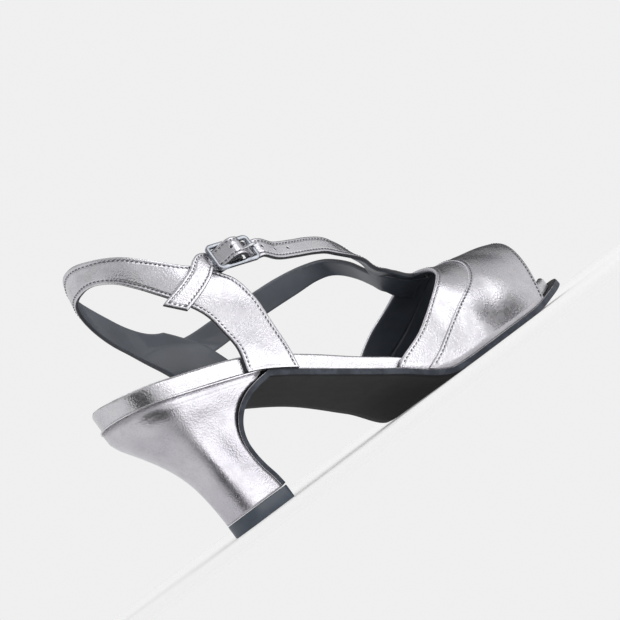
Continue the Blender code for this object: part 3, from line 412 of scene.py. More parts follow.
def edge_point(x, side, inset=0.0):
    """A point on the sole's outline, moved square to it to the inside."""
    sign = -1 if side == "outer" else 1
    step = 0.2 * MM
    back = max(x - step, along_to_x(0.00002))
    front = min(x + step, along_to_x(0.99998))
    rise = (half_width(front, side) - half_width(back, side)) / (front - back)
    length = math.hypot(1, rise)
    y = centre_line(x) + sign * (half_width(x, side) - inset / length)
    return x + inset * rise / length, y


def rib_places(start, end, count):
    turn = np.linspace(math.acos(1 - 2 * start), math.acos(1 - 2 * end), count)
    return (1 - np.cos(turn)) / 2


def insole_inset(along):
    share = flowing(column(INSOLE_ROWS, INSOLE_COLUMNS, "along"),
                    column(INSOLE_ROWS, INSOLE_COLUMNS, "inset"), along)
    return share * (VAMP_SETBACK + UPPER_WALL + GAP + INSOLE_EASE)


def insole_thick(along):
    return INSOLE_THICK * flowing(column(INSOLE_ROWS, INSOLE_COLUMNS, "along"),
                                  column(INSOLE_ROWS, INSOLE_COLUMNS, "thick"), along)


def ridge(x):
    along = np.clip(x_to_along(x), RIDGE_ROWS[0][0], 1)
    places = column(RIDGE_ROWS, RIDGE_COLUMNS, "along")
    height = flowing(places, column(RIDGE_ROWS, RIDGE_COLUMNS, "height"), along)
    inward = flowing(places, column(RIDGE_ROWS, RIDGE_COLUMNS, "inward"), along)
    return float(height) * INSTEP_HEIGHT, float(inward) * BALL_WIDTH


def last_foot(x, sign):
    side = "outer" if sign < 0 else "inner"
    _, y = edge_point(x, side, VAMP_SETBACK)
    return y, float(insole_bottom(x))


def last_point(x, turn):
    """The upper's outer face: turn runs from -1 at the outer foot over the ridge to 1."""
    top, middle = ridge(x)
    foot_y, foot_z = last_foot(x, turn)
    angle = abs(turn) * math.pi / 2
    power = 2 / LAST_SQUARENESS
    y = middle + (foot_y - middle) * math.sin(angle) ** power
    z = foot_z + (top - foot_z) * max(math.cos(angle), 0.0) ** power
    return x, y, z


def on_last(x, y):
    top, middle = ridge(x)
    foot_y, foot_z = last_foot(x, y - middle)
    share = min(abs((y - middle) / (foot_y - middle)), 0.98)
    return foot_z + (top - foot_z) * (1 - share**LAST_SQUARENESS) ** (1 / LAST_SQUARENESS)


def vamp_edge(edge, turn):
    named = dict(zip(VAMP_COLUMNS, edge))
    foot = named["outer_foot"] if turn < 0 else named["inner_foot"]
    share = named["ridge"] + (foot - named["ridge"]) * abs(turn) ** named["turn"]
    return along_to_x(share)


def ankle_breadth(sign, z):
    full = SLING_BREADTH if sign < 0 else SLING_INNER_BREADTH
    return full * float(flowing(column(ANKLE_ROWS, ANKLE_COLUMNS, "rise"),
                                column(ANKLE_ROWS, ANKLE_COLUMNS, "breadth"), z / SLING_HEIGHT))


def ankle_point(turn, z):
    """The sling's outer face: turn in degrees, 0 at the back of the heel and 90 abeam."""
    sign = -1 if turn < 0 else 1
    angle = math.radians(min(abs(turn), 90))
    depth = SLING_DEPTH * (1 - SLING_CURL * float(blend(SLING_CURL_FROM, 1.0, z / SLING_HEIGHT)))
    breadth = ankle_breadth(sign, z)
    squareness = OUTER_SQUARENESS if sign < 0 else INNER_SQUARENESS
    x = ANKLE_CENTRE - depth * math.cos(angle) ** squareness
    y = breadth * math.sin(angle) ** squareness
    if abs(turn) > 90:
        x += breadth * math.radians(abs(turn) - 90)
    return x, sign * y


def drawn_in(x, y, z):
    """How far from the centre line a quarter lies once its foot is drawn in to the insole."""
    along = float(x_to_along(x))
    side = "outer" if y < 0 else "inner"
    _, edge = edge_point(x, side, float(insole_inset(along)) - GAP - UPPER_WALL)
    rim_top = float(insole_bottom(x)) + INSOLE_THICK
    pull = 1 - float(blend(rim_top - QUARTER_FULL_DRAW, rim_top + QUARTER_TOP_DRAW, z))
    return y + (edge - y) * pull


def sling_point(turn, z):
    x, y = ankle_point(turn, z)
    return x, y if abs(turn) < QUARTER_FROM else drawn_in(x, y, z), z


def buckle_axes():
    """The buckle's centre and its directions: along the strap to the toe, across and out."""
    centre = np.array([along_to_x(BUCKLE_ALONG), BUCKLE_SIDE * BALL_WIDTH,
                       BUCKLE_RISE * INSTEP_HEIGHT])
    dip = math.radians(BUCKLE_DIP)
    along = np.array([math.cos(dip), 0, -math.sin(dip)])
    level = np.array([0, -1.0, 0])
    up = np.cross(level, along)
    lean = math.radians(BUCKLE_LEAN)
    out = math.sin(lean) * level + math.cos(lean) * up
    across = np.cross(out, along)
    return centre, along, across, out


BUCKLE_CENTRE, BUCKLE_FORWARD, BUCKLE_ACROSS, BUCKLE_OUT = buckle_axes()


def on_buckle(points):
    """Points given along, across and out of the buckle, as places in the frame."""
    points = np.asarray(points, float)
    return (BUCKLE_CENTRE + points[..., :1] * BUCKLE_FORWARD + points[..., 1:2] * BUCKLE_ACROSS
            + points[..., 2:3] * BUCKLE_OUT)


# Meshes


def grid_faces(rows, columns, offset=0, closed=False):
    faces = []
    for i in range(rows - 1):
        for j in range(columns if closed else columns - 1):
            a = offset + i * columns + j
            b = offset + i * columns + (j + 1) % columns
            faces.append((a, b, b + columns, a + columns))
    return faces


def grid_normals(grid, centre):
    """Unit normals of a grid of points, pointing away from the centre."""
    along = np.gradient(grid, axis=0)
    across = np.gradient(grid, axis=1)
    normals = np.cross(along, across)
    normals /= np.linalg.norm(normals, axis=2, keepdims=True)
    return normals if ((grid - np.asarray(centre)) * normals).sum() > 0 else -normals


def add_piece(name, points, faces, finishes, parts, node, facts=None):
    """A mesh piece that rides with the sandal; parts gives each face's finish by number."""
    mesh = bpy.data.meshes.new(name)
    mesh.from_pydata([tuple(point) for point in points], [], faces)
    for finish in finishes:
        mesh.materials.append(finish)
    mesh.polygons.foreach_set("material_index", parts)
    for label, values in (facts or {}).items():
        layer = mesh.attributes.new(label, "FLOAT", "POINT")
        layer.data.foreach_set("value", np.asarray(values, np.float32).ravel())
    mesh.shade_smooth()
    mesh.update()
    volume = sum(
        mesh.vertices[f.vertices[0]].co.dot(
            mesh.vertices[f.vertices[i]].co.cross(mesh.vertices[f.vertices[i + 1]].co))
        for f in mesh.polygons for i in range(1, len(f.vertices) - 1))
    if volume < 0:
        mesh.flip_normals()
    obj = bpy.data.objects.new(name, mesh)
    bpy.context.scene.collection.objects.link(obj)
    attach(obj, "root")
    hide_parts(node)
    return obj


def border(rows, columns):
    """The indices round a grid's edge, in order."""
    rim = [(0, j) for j in range(columns)]
    rim += [(i, columns - 1) for i in range(1, rows)]
    rim += [(rows - 1, j) for j in range(columns - 2, -1, -1)]
    rim += [(i, 0) for i in range(rows - 2, 0, -1)]
    return rim


def lengths(grid, axis):
    """How far each point of a grid lies along its line, in metres."""
    steps = np.linalg.norm(np.diff(grid, axis=axis), axis=2)
    start = np.zeros_like(np.take(steps, [0], axis=axis))
    return np.concatenate([start, np.cumsum(steps, axis=axis)], axis=axis)


def sewn_facts(grid, sewn):
    """For each point, how far it lies from a sewn edge and how far along that edge."""
    across = lengths(grid, 1)
    along = lengths(grid, 0)
    choices = {
        "left": (across, along), "right": (across[:, -1:] - across, along),
        "start": (along, across), "end": (along[-1:] - along, across),
    }
    away = np.full(grid.shape[:2], 1.0)
    run = np.zeros(grid.shape[:2])
    for edge in sewn:
        distance, place = choices[edge]
        nearer = distance < away
        away = np.where(nearer, distance, away)
        run = np.where(nearer, place, run)
    return away, run


def leather_wall(name, outer, inner, finishes, node, sewn=(), rim=CUT_EDGE):
    """A wall of leather and lining with its rounded edge: finishes are face, lining and edge."""
    rows, columns = outer.shape[:2]
    size = rows * columns
    faces = grid_faces(rows, columns)
    parts = [0] * len(faces)
    back = [face[::-1] for face in grid_faces(rows, columns, offset=size)]
    faces += back
    parts += [1] * len(back)
    edge = border(rows, columns)
    top = np.array([outer[i, j] for i, j in edge])
    low = np.array([inner[i, j] for i, j in edge])
    away = []
    for i, j in edge:
        inward = outer[min(max(i, 1), rows - 2), min(max(j, 1), columns - 2)]
        step = outer[i, j] - inward
        away.append(step / max(np.linalg.norm(step), 1e-9))
    away = np.array(away)
    loops = [[i * columns + j for i, j in edge]]
    points = [outer.reshape(-1, 3), inner.reshape(-1, 3)]
    start = 2 * size
    for k in range(1, RIM_STEPS):
        angle = math.pi * k / RIM_STEPS
        points.append((top + low) / 2 + (top - low) / 2 * math.cos(angle)
                      + away * EDGE_BULGE * math.sin(angle))
        loops.append([start + n for n in range(len(edge))])
        start += len(edge)
    loops.append([size + i * columns + j for i, j in edge])
    for k in range(RIM_STEPS):
        upper, lower = loops[k], loops[k + 1]
        for n in range(len(edge)):
            m = (n + 1) % len(edge)
            faces.append((upper[m], upper[n], lower[n], lower[m]))
            parts.append(rim[k])
    distance, run = sewn_facts(outer, sewn)
    rest = (RIM_STEPS - 1) * len(edge)
    facts = {
        "sewn_edge": np.concatenate([distance.ravel(), np.ones(size + rest)]),
        "sewn_run": np.concatenate([run.ravel(), np.zeros(size + rest)]),
    }
    return add_piece(name, np.vstack(points), faces, finishes, parts, node, facts)


def press(grid, normals, creases):
    """How far each point moves along its normal for the listed troughs and ridges."""
    lift = np.zeros(grid.shape[:2])
    for start, end, wide, deep in creases:
        a, b = (np.array([along_to_x(p[0]), p[1] * BALL_WIDTH, p[2] * INSTEP_HEIGHT])
                for p in (start, end))
        line = b - a
        share = np.clip(((grid - a) @ line) / (line @ line), 0, 1)
        gap = np.linalg.norm(grid - (a + share[..., None] * line), axis=2)
        lift += deep * MM * np.exp(-(gap / (wide * MM)) ** 2)
    return grid + normals * lift[..., None]


def loft(name, rings, finishes, parts_of, node):
    """A closed body through rings; parts_of gives the finish of the strip at each ring place."""
    rings = np.asarray(rings)
    count, size = rings.shape[:2]
    faces = grid_faces(count, size, closed=True)
    parts = [parts_of[j] for _ in range(count - 1) for j in range(size)]
    faces.append(tuple(range(size))[::-1])
    faces.append(tuple((count - 1) * size + j for j in range(size)))
    parts += [parts_of[0]] * 2
    return add_piece(name, rings.reshape(-1, 3), faces, finishes, parts, node)


def sweep(points, radii, sides=12, power=2.0, closed=False, up=(0, 0, 1)):
    """Rings of a bar along a path: radii are (in plane, out of plane) at each point."""
    points = np.asarray(points, float)
    if closed:
        forward = np.roll(points, -1, axis=0) - np.roll(points, 1, axis=0)
    else:
        forward = np.gradient(points, axis=0)
    forward /= np.linalg.norm(forward, axis=1, keepdims=True)
    up = np.broadcast_to(np.asarray(up, float), points.shape)
    side = np.cross(forward, up)
    side /= np.linalg.norm(side, axis=1, keepdims=True)
    top = np.cross(side, forward)
    turn = np.linspace(0, 2 * math.pi, sides, endpoint=False)
    a = np.sign(np.cos(turn)) * np.abs(np.cos(turn)) ** (2 / power)
    b = np.sign(np.sin(turn)) * np.abs(np.sin(turn)) ** (2 / power)
    radii = np.broadcast_to(np.asarray(radii, float), (len(points), 2))
    return (points[:, None] + side[:, None] * a[None, :, None] * radii[:, None, :1]
            + top[:, None] * b[None, :, None] * radii[:, None, 1:])


# Finishes


class Wire:
    """A shader value; arithmetic on it adds the nodes."""

    def __init__(self, look, socket):
        self.look = look
        self.socket = socket

    def __add__(self, other):
        return self.look.maths("ADD", self, other)

    def __sub__(self, other):
        return self.look.maths("SUBTRACT", self, other)

    def __mul__(self, other):
        return self.look.maths("MULTIPLY", self, other)

    def __rsub__(self, other):
        return self.look.maths("SUBTRACT", other, self)

    __radd__ = __add__
    __rmul__ = __mul__


class Finish:
    """A material being built: plain values go on the shader, patterns on a few of its sockets."""

    def __init__(self, name, **plain):
        self.material = bpy.data.materials.new(name)
        self.material.use_nodes = True
        self.tree = self.material.node_tree
        self.shader = self.tree.nodes["Principled BSDF"]
        for label, value in plain.items():
            self.shader.inputs[label.replace("_", " ").title()].default_value = value

    def node(self, kind, inputs=None, output=0, **settings):
        node = self.tree.nodes.new(kind)
        for label, value in settings.items():
            setattr(node, label, value)
        for label, value in (inputs or {}).items():
            self.feed(node.inputs[label], value)
        return Wire(self, node.outputs[output])

    def feed(self, socket, value):
        if isinstance(value, Wire):
            self.tree.links.new(value.socket, socket)
        else:
            socket.default_value = value

    def shade(self, label, value):
        self.feed(self.shader.inputs[label], value)

    def maths(self, operation, a, b=0.0):
        return self.node("ShaderNodeMath", {0: a, 1: b}, operation=operation)

    def place(self, squeeze=(1, 1, 1), turn=(0, 0, 0)):
        spot = self.node("ShaderNodeTexCoord", output="Object")
        if squeeze == (1, 1, 1) and turn == (0, 0, 0):
            return spot
        return self.node("ShaderNodeMapping", {"Vector": spot, "Scale": squeeze, "Rotation": turn})

    def noise(self, spot, size, detail=2.0, roughness=0.5):
        return self.node("ShaderNodeTexNoise", {
            "Vector": spot, "Scale": 1 / size, "Detail": detail, "Roughness": roughness})

    def cells(self, spot, size):
        return self.node("ShaderNodeTexVoronoi", {"Vector": spot, "Scale": 1 / size},
                         output="Distance")

    def span(self, value, low, high, start=0.0, end=1.0):
        return self.node("ShaderNodeMapRange", {
            "Value": value, "From Min": low, "From Max": high, "To Min": start, "To Max": end},
            interpolation_type="SMOOTHSTEP")

    def mix(self, share, a, b):
        return self.node("ShaderNodeMix", {0: share, 6: a, 7: b}, output=2, data_type="RGBA")

    def fact(self, label):
        return self.node("ShaderNodeAttribute", output="Fac", attribute_name=label)

    def bump(self, height, distance, strength=1.0):
        return self.node("ShaderNodeBump", {
            "Height": height, "Distance": distance, "Strength": strength})


def tint(red, green, blue):
    return (red, green, blue, 1.0)


def pewter_leather(name, light, dark, sewn=False, plain_roughness=0.20):
    """Foiled leather: a fine pebble grain, cloudy wear in the foil, puckers along the seams."""
    look = Finish(name, metallic=0.94, coat_roughness=0.2)
    spot = look.place()
    cloud = look.noise(spot, 22 * MM, 3.0)
    fine = look.noise(spot, 0.55 * MM, 3.0, 0.65)
    pebbles = look.cells(spot, PEBBLE)
    wear = look.span(look.noise(spot, 5 * MM, 4.0, 0.6), 0.45, 0.72)
    foil = look.mix(look.span(cloud, 0.3, 0.7), dark, light)
    rubbed = look.mix(wear * 0.22, foil, tint(0.36, 0.35, 0.36))
    pores = look.span(pebbles, 0.50, 0.85) * 0.14
    look.shade("Base Color", look.mix(pores, rubbed, tint(0.22, 0.21, 0.23)))
    look.shade("Roughness", plain_roughness + cloud * 0.08 + wear * 0.07 + fine * 0.05)
    look.shade("Coat Weight", 0.12 + cloud * 0.1)
    height = (1.0 - look.span(pebbles, 0.0, 0.85)) * 0.7 + fine * 0.55
    if sewn:
        away = look.fact("sewn_edge")
        run = look.fact("sewn_run")
        channel = 1.0 - look.span(look.maths("ABSOLUTE", away - STITCH_INSET), 0.0, 1.0 * MM)
        pucker = 0.75 + 0.25 * look.maths("SINE", run * (2 * math.pi / STITCH_PITCH))
        height = height - channel * pucker * 3.2
    look.shade("Normal", look.bump(height, GRAIN_RELIEF))
    return look.material


def lining_leather(name, colour):
    look = Finish(name, metallic=0.0)
    spot = look.place()
    cloud = look.noise(spot, 14 * MM, 3.0)
    grain = look.cells(spot, 0.6 * MM)
    pale = tuple(c * 1.35 for c in colour)
    look.shade("Base Color", look.mix(look.span(cloud, 0.3, 0.7), tint(*colour), tint(*pale)))
    look.shade("Roughness", 0.36 + cloud * 0.14)
    look.shade("Coat Weight", 0.10 + cloud * 0.08)
    look.shade("Normal", look.bump(grain + look.noise(spot, 0.3 * MM), 0.012 * MM))
    return look.material


def edge_paint(name, colour):
    look = Finish(name)
    spot = look.place()
    fine = look.noise(spot, 0.8 * MM, 3.0)
    look.shade("Base Color", look.mix(fine, tint(*colour), tint(*(c * 2.2 for c in colour))))
    look.shade("Roughness", 0.42 + fine * 0.2)
    look.shade("Normal", look.bump(fine, 0.05 * MM))
    return look.material


def thread(name, colour):
    look = Finish(name, roughness=0.6)
    spot = look.place()
    twist = look.node("ShaderNodeTexWave", {
        "Vector": spot, "Scale": 1 / (1.1 * MM), "Distortion": 1.5}, bands_direction="DIAGONAL")
    look.shade("Base Color", look.mix(twist, tint(*colour), tint(*(c * 2.4 for c in colour))))
    look.shade("Normal", look.bump(twist, 0.06 * MM))
    return look.material


def suede(name, colour, nap, relief):
    """Brushed suede: short soft nap in clumps that lean different ways."""
    look = Finish(name, roughness=0.95, sheen_weight=0.04, sheen_roughness=0.5)
    spot = look.place()
    clumps = look.noise(spot, 5 * MM, 4.0, 0.6)
    fibres = look.noise(look.place((1, 0.35, 1), (0, 0, 0.5)), 0.28 * MM, 4.0, 0.7)
    base = look.mix(look.span(clumps, 0.35, 0.65), tint(*colour), tint(*nap))
    look.shade("Base Color", look.mix(fibres * 0.6, base, tint(*(c * 0.45 for c in colour))))
    look.shade("Normal", look.bump(fibres + clumps * 0.6, relief))
    return look.material


def slate_rubber(name, ribbed):
    look = Finish(name)
    spot = look.place()
    cloud = look.noise(spot, 4 * MM, 3.0)
    look.shade("Base Color", look.mix(cloud, tint(0.040, 0.052, 0.072), tint(0.085, 0.105, 0.135)))
    look.shade("Roughness", 0.30 + cloud * 0.25)
    if ribbed:
        wave = look.node("ShaderNodeTexWave", {
            "Vector": look.place(turn=(0, 0, 0.2)), "Scale": 1 / (4.2 * MM), "Distortion": 1.6,
            "Detail": 1.0}, bands_direction="X")
        look.shade("Normal", look.bump(wave, 0.7 * MM))
    else:
        look.shade("Normal", look.bump(look.noise(spot, 0.5 * MM, 3.0), 0.02 * MM))
    return look.material


def buckle_metal(name, colour):
    look = Finish(name, metallic=1.0)
    spot = look.place()
    smoke = look.noise(spot, 3 * MM, 3.0)
    rubs = look.noise(look.place((1, 8, 1)), 1.2 * MM, 3.0, 0.7)
    look.shade("Base Color", look.mix(look.span(smoke, 0.35, 0.7), tint(*colour),
                                      tint(*(c * 0.72 for c in colour))))
    look.shade("Roughness", 0.14 + rubs * 0.14)
    look.shade("Normal", look.bump(rubs, 0.008 * MM))
    return look.material


def ribbed_elastic(name):
    """Woven elastic: cords across it that show as ribs, with painted shade darkening the troughs between
    them.
    """
    look = Finish(name, roughness=0.75, sheen_weight=0.15)
    spot = look.place()
    run = look.node("ShaderNodeVectorMath", {0: spot, 1: tuple(BUCKLE_FORWARD)},
                    output="Value", operation="DOT_PRODUCT")
    rib = look.maths("SINE", run * (2 * math.pi / (1.15 * MM))) * 0.5 + 0.5
    yarn = look.noise(spot, 0.35 * MM, 3.0)
    # The colour darkens into the rib troughs and lightens on their crests: painted shade in the troughs
    # and a painted sheen on the crests, over the yarn's own mottling
    look.shade("Base Color", look.mix(rib * (0.6 + yarn * 0.4), tint(0.012, 0.013, 0.016),
                                      tint(0.10, 0.105, 0.12)))
    look.shade("Normal", look.bump(rib + yarn * 0.3, 0.3 * MM))
    return look.material


PEWTER = pewter_leather("pewter_leather", tint(0.64, 0.63, 0.66), tint(0.54, 0.53, 0.57), sewn=True)
PEWTER_PLAIN = pewter_leather("pewter_leather_plain", tint(0.64, 0.63, 0.66),
                              tint(0.55, 0.54, 0.57))
PEWTER_HEEL = pewter_leather("pewter_leather_heel", tint(0.60, 0.585, 0.62),
                             tint(0.50, 0.485, 0.53), plain_roughness=0.22)
LINING = lining_leather("dark_lining", (0.060, 0.069, 0.086))
SOCK = lining_leather("sock_leather", (0.032, 0.036, 0.045))
EDGE = edge_paint("edge_paint", (0.020, 0.020, 0.024))
# A lighter copy of the pewter leather, a painted highlight: it paints the thin light lines along the top
# of the sole's edge and on the bead round the heel's seat
HIGHLIGHT_EDGE_LEATHER = pewter_leather("highlight_edge_leather", tint(0.72, 0.71, 0.73), tint(0.64, 0.63, 0.66),
                             plain_roughness=0.18)
THREAD = thread("thread_grey", (0.06, 0.06, 0.07))
SUEDE = suede("sole_suede", (0.006, 0.006, 0.008), (0.011, 0.011, 0.014), 0.10 * MM)
SUEDE_EDGE = suede("sole_edge_suede", (0.040, 0.046, 0.062), (0.085, 0.095, 0.12), 0.16 * MM)
RUBBER = slate_rubber("slate_rubber", False)
RUBBER_RIBS = slate_rubber("slate_rubber_ribs", True)
GUNMETAL = buckle_metal("gunmetal", (0.34, 0.355, 0.39))
GUNMETAL_PRONG = buckle_metal("gunmetal_prong", (0.46, 0.47, 0.50))
ELASTIC = ribbed_elastic("ribbed_elastic")
LEATHER_SET = (PEWTER, LINING, EDGE)


# Sewing thread, laid by Geometry Nodes along a path on the leather


def stitch_tree():
    tree = bpy.data.node_groups.new("stitch_row", "GeometryNodeTree")
    face = tree.interface
    face.new_socket("Path", in_out="INPUT", socket_type="NodeSocketGeometry")
    for label, value in (("Pitch", STITCH_PITCH), ("Length", STITCH_LENGTH),
                         ("Width", STITCH_WIDTH), ("Height", STITCH_WIDTH), ("Stray", 0.07)):
        face.new_socket(label, in_out="INPUT", socket_type="NodeSocketFloat").default_value = value
    face.new_socket("Seed", in_out="INPUT", socket_type="NodeSocketInt").default_value = 3
    face.new_socket("Thread", in_out="INPUT", socket_type="NodeSocketMaterial")
    face.new_socket("Stitches", in_out="OUTPUT", socket_type="NodeSocketGeometry")

    def add(kind, inputs=None, **settings):
        node = tree.nodes.new(kind)
        for label, value in settings.items():
            setattr(node, label, value)
        for label, value in (inputs or {}).items():
            if isinstance(value, bpy.types.NodeSocket):
                tree.links.new(value, node.inputs[label])
            else:
                node.inputs[label].default_value = value
        return node

    given = add("NodeGroupInput").outputs
    curve = add("GeometryNodeMeshToCurve", {"Mesh": given["Path"]}).outputs["Curve"]
    spaced = add("GeometryNodeResampleCurve", {"Curve": curve, "Length": given["Pitch"]},
                 mode="LENGTH").outputs["Curve"]
    up = add("GeometryNodeInputNamedAttribute", {"Name": "up"},
             data_type="FLOAT_VECTOR").outputs["Attribute"]
    tangent = add("GeometryNodeInputTangent").outputs["Tangent"]
    stray = add("FunctionNodeRandomValue", {"Min": (-1, -1, -1), "Max": (1, 1, 1),
                                            "Seed": given["Seed"]}, data_type="FLOAT_VECTOR")
    wander = add("ShaderNodeVectorMath", {0: stray.outputs[0], "Scale": given["Stray"]},
                 operation="SCALE").outputs["Vector"]
    heading = add("ShaderNodeVectorMath", {0: tangent, 1: wander}, operation="ADD").outputs["Vector"]
    laid = add("FunctionNodeAlignRotationToVector", {"Vector": heading}, axis="X")
    stood = add("FunctionNodeAlignRotationToVector",
                {"Rotation": laid.outputs["Rotation"], "Vector": up}, axis="Z", pivot_axis="X")
    ball = add("GeometryNodeMeshUVSphere", {"Segments": 8, "Rings": 5, "Radius": 0.5})
    size = add("ShaderNodeCombineXYZ", {"X": given["Length"], "Y": given["Width"],
                                        "Z": given["Height"]})
    sown = add("GeometryNodeInstanceOnPoints", {
        "Points": spaced, "Instance": ball.outputs["Mesh"],
        "Rotation": stood.outputs["Rotation"], "Scale": size.outputs["Vector"]})
    real = add("GeometryNodeRealizeInstances", {"Geometry": sown.outputs["Instances"]})
    smooth = add("GeometryNodeSetShadeSmooth", {"Geometry": real.outputs["Geometry"]})
    finished = add("GeometryNodeSetMaterial", {
        "Geometry": smooth.outputs["Geometry"], "Material": given["Thread"]})
    add("NodeGroupOutput", {"Stitches": finished.outputs["Geometry"]})
    return tree


STITCH_TREE = stitch_tree()


def sew(name, path, ups, node):
    """One row of stitches along a path of points, standing on the leather's normals."""
    mesh = bpy.data.meshes.new(name + "_path")
    mesh.from_pydata([tuple(p) for p in path], [(i, i + 1) for i in range(len(path) - 1)], [])
    layer = mesh.attributes.new("up", "FLOAT_VECTOR", "POINT")
    layer.data.foreach_set("vector", np.asarray(ups, np.float32).ravel())
    guide = bpy.data.objects.new(name + "_guide", mesh)
    bpy.context.scene.collection.objects.link(guide)
    modifier = guide.modifiers.new("stitches", "NODES")
    modifier.node_group = STITCH_TREE
    keys = {item.name: item.identifier for item in STITCH_TREE.interface.items_tree
            if item.in_out == "INPUT"}
    modifier[keys["Thread"]] = THREAD
    graph = bpy.context.evaluated_depsgraph_get()
    graph.update()
    made = bpy.data.meshes.new_from_object(guide.evaluated_get(graph))
    bpy.data.objects.remove(guide, do_unlink=True)
    made.name = name
    obj = bpy.data.objects.new(name, made)
    bpy.context.scene.collection.objects.link(obj)
    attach(obj, "root")
    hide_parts(node)
    return obj


def inset_path(grid, normals, edge, inset=STITCH_INSET, trim=(0.0, 0.0)):
    """A path on the leather at a set distance from one of its edges, with its normals."""
    if edge in ("start", "end"):
        grid, normals = grid.transpose(1, 0, 2), normals.transpose(1, 0, 2)
    if edge in ("right", "end"):
        grid, normals = grid[:, ::-1], normals[:, ::-1]
    across = lengths(grid, 1)
    path = []
    ups = []
    for line, faces, places in zip(grid, normals, across):
        spot = [np.interp(inset, places, line[:, k]) for k in range(3)]
        up = np.array([np.interp(inset, places, faces[:, k]) for k in range(3)])
        path.append(spot)
        ups.append(up / np.linalg.norm(up))
    path, ups = np.array(path), np.array(ups)
    run = np.concatenate([[0], np.cumsum(np.linalg.norm(np.diff(path, axis=0), axis=1))])
    keep = (run >= trim[0]) & (run <= run[-1] - trim[1])
    return path[keep], ups[keep]


# Sole, insole and heel


def breast_rows():
    seat = float(half_width(along_to_x(0.0) + SEAT_REACH, "outer"))
    rows = []
    for row in reversed(HEEL_ROWS):
        named = dict(zip(HEEL_COLUMNS, row))
        rows.append((named["front"] * HEEL_OVERHANG, named["front_height"] * HEEL_LIFT,
                     named["breast"] * seat))
    return np.array(rows)


def offset_path(path, distance):
    slope = np.gradient(path, axis=0)
    slope /= np.linalg.norm(slope, axis=1, keepdims=True)
    return path + distance * np.c_[slope[:, 1], -slope[:, 0]]


def make_outsole():
    """The suede sole with its brushed edge: one sheet down to the heel's tip."""
    breast = through(breast_rows(), 46)
    face = offset_path(breast[:, :2], GAP)
    back = offset_path(breast[:, :2], GAP + BREAST_THICK)
    columns = np.linspace(0, 1, 15)
    sides = ((0.08, 0.10 * MM), (0.30, 0.22 * MM), (0.70, 0.22 * MM), (0.92, 0.10 * MM))
    rings = []

    def ring(top_x, top_z, low_x, low_z, outer, inner):
        low = [(low_x, outer + (inner - outer) * s, low_z) for s in columns]
        up = [(low_x + (top_x - low_x) * s, inner + fuller, low_z + (top_z - low_z) * s)
              for s, fuller in sides]
        top = [(top_x, inner + (outer - inner) * s, top_z) for s in columns]
        down = [(low_x + (top_x - low_x) * s, outer - fuller, low_z + (top_z - low_z) * s)
                for s, fuller in sides[::-1]]
        rings.append(low + up + top + down)

    for (tx, tz), (lx, lz), (_, _, width) in zip(face, back, breast):
        ring(tx, max(tz, TIP_THICK + GAP), lx, max(lz, TIP_THICK + GAP), -width, width)
    for along in rib_places(0.281, 0.99985, 120):
        x = along_to_x(along)
        slope = float(sole_bottom(x + 0.5 * MM) - sole_bottom(x - 0.5 * MM)) / MM
        drop = OUTSOLE_THICK / math.hypot(1, slope)
        outer_y = edge_point(x, "outer")[1]
        inner_y = edge_point(x, "inner")[1]
        low_z = float(sole_bottom(x))
        ring(x - slope * drop, low_z + drop, x, low_z, outer_y, inner_y)
    count = len(columns)
    # Finish 2, the lighter leather copy, is a painted highlight: the thin light line along the top of the
    # sole's edge
    parts = [0] * (count - 1) + [1] * 4 + [2] + [0] * (count - 1) + [2] + [1] * 4
    loft("outsole_suede", rings, (SUEDE, SUEDE_EDGE, HIGHLIGHT_EDGE_LEATHER), parts, "outsole")


def insole_ring(along):
    """One section of the insole: from the middle of its top round both sides, and its base."""
    x = along_to_x(along)
    inset = float(insole_inset(along))
    thick = float(insole_thick(along))
    outer = edge_point(x, "outer", inset)
    inner = edge_point(x, "inner", inset)
    middle = ((outer[0] + inner[0]) / 2, (outer[1] + inner[1]) / 2)
    reach = math.hypot(inner[0] - outer[0], inner[1] - outer[1]) / 2
    to_end = (1 - along) * SOLE_LENGTH
    slope = max(0.0, 1 - to_end / TOE_TAPER)
    nose = max(0.0, 1 - to_end / INSOLE_ROUND)
    thick = thick * (1 - TOE_THINNED * slope**1.5) - INSOLE_ROUND * (1 - math.sqrt(1 - nose**2))
    round_off = min(INSOLE_ROUND, reach * 0.45)
    dish = INSOLE_DISH * blend(0, DISH_REACH, reach)
    ring = []
    for edge in (outer, inner):
        points = [(1.0, 0.0, 0.0), (1.0, 0.0, 0.35 * MM), (1.0, 0.0, (thick - round_off) * 0.5),
                  (1.0, 0.0, thick - round_off)]
        for turn in (15, 30, 45, 60, 75, 90):
            spread = round_off * (1 - math.cos(math.radians(turn)))
            rise = round_off * math.sin(math.radians(turn))
            points.append((1.0, spread, thick - round_off + rise))
        for share in (0.85, 0.7, 0.55, 0.4, 0.2):
            points.append((share, 0.0, thick - dish * (1 - share**2)))
        if edge is inner:
            points = points[::-1]
            points.insert(0, (0.0, 0.0, thick - dish))
        for share, spread, rise in points:
            px = middle[0] + (edge[0] - middle[0]) * (share - spread / max(reach, 1e-6))
            py = middle[1] + (edge[1] - middle[1]) * (share - spread / max(reach, 1e-6))
            ring.append((px, py, float(insole_bottom(px)) + rise))
    ring.append((middle[0], middle[1], float(insole_bottom(middle[0]))))
    return ring


def make_insole():
    """The board in its leather wrap, with the dark sock on top."""
    rings = [insole_ring(along) for along in rib_places(0.0002, 0.9998, 130)]
    count = len(rings[0])
    side = [0] * 8
    top = [1] * (count - 1 - 2 * len(side) - 1)
    parts = side + top + side[::-1] + [0, 0]
    loft("insole_wrap", rings, (PEWTER_PLAIN, SOCK), parts, "insole")


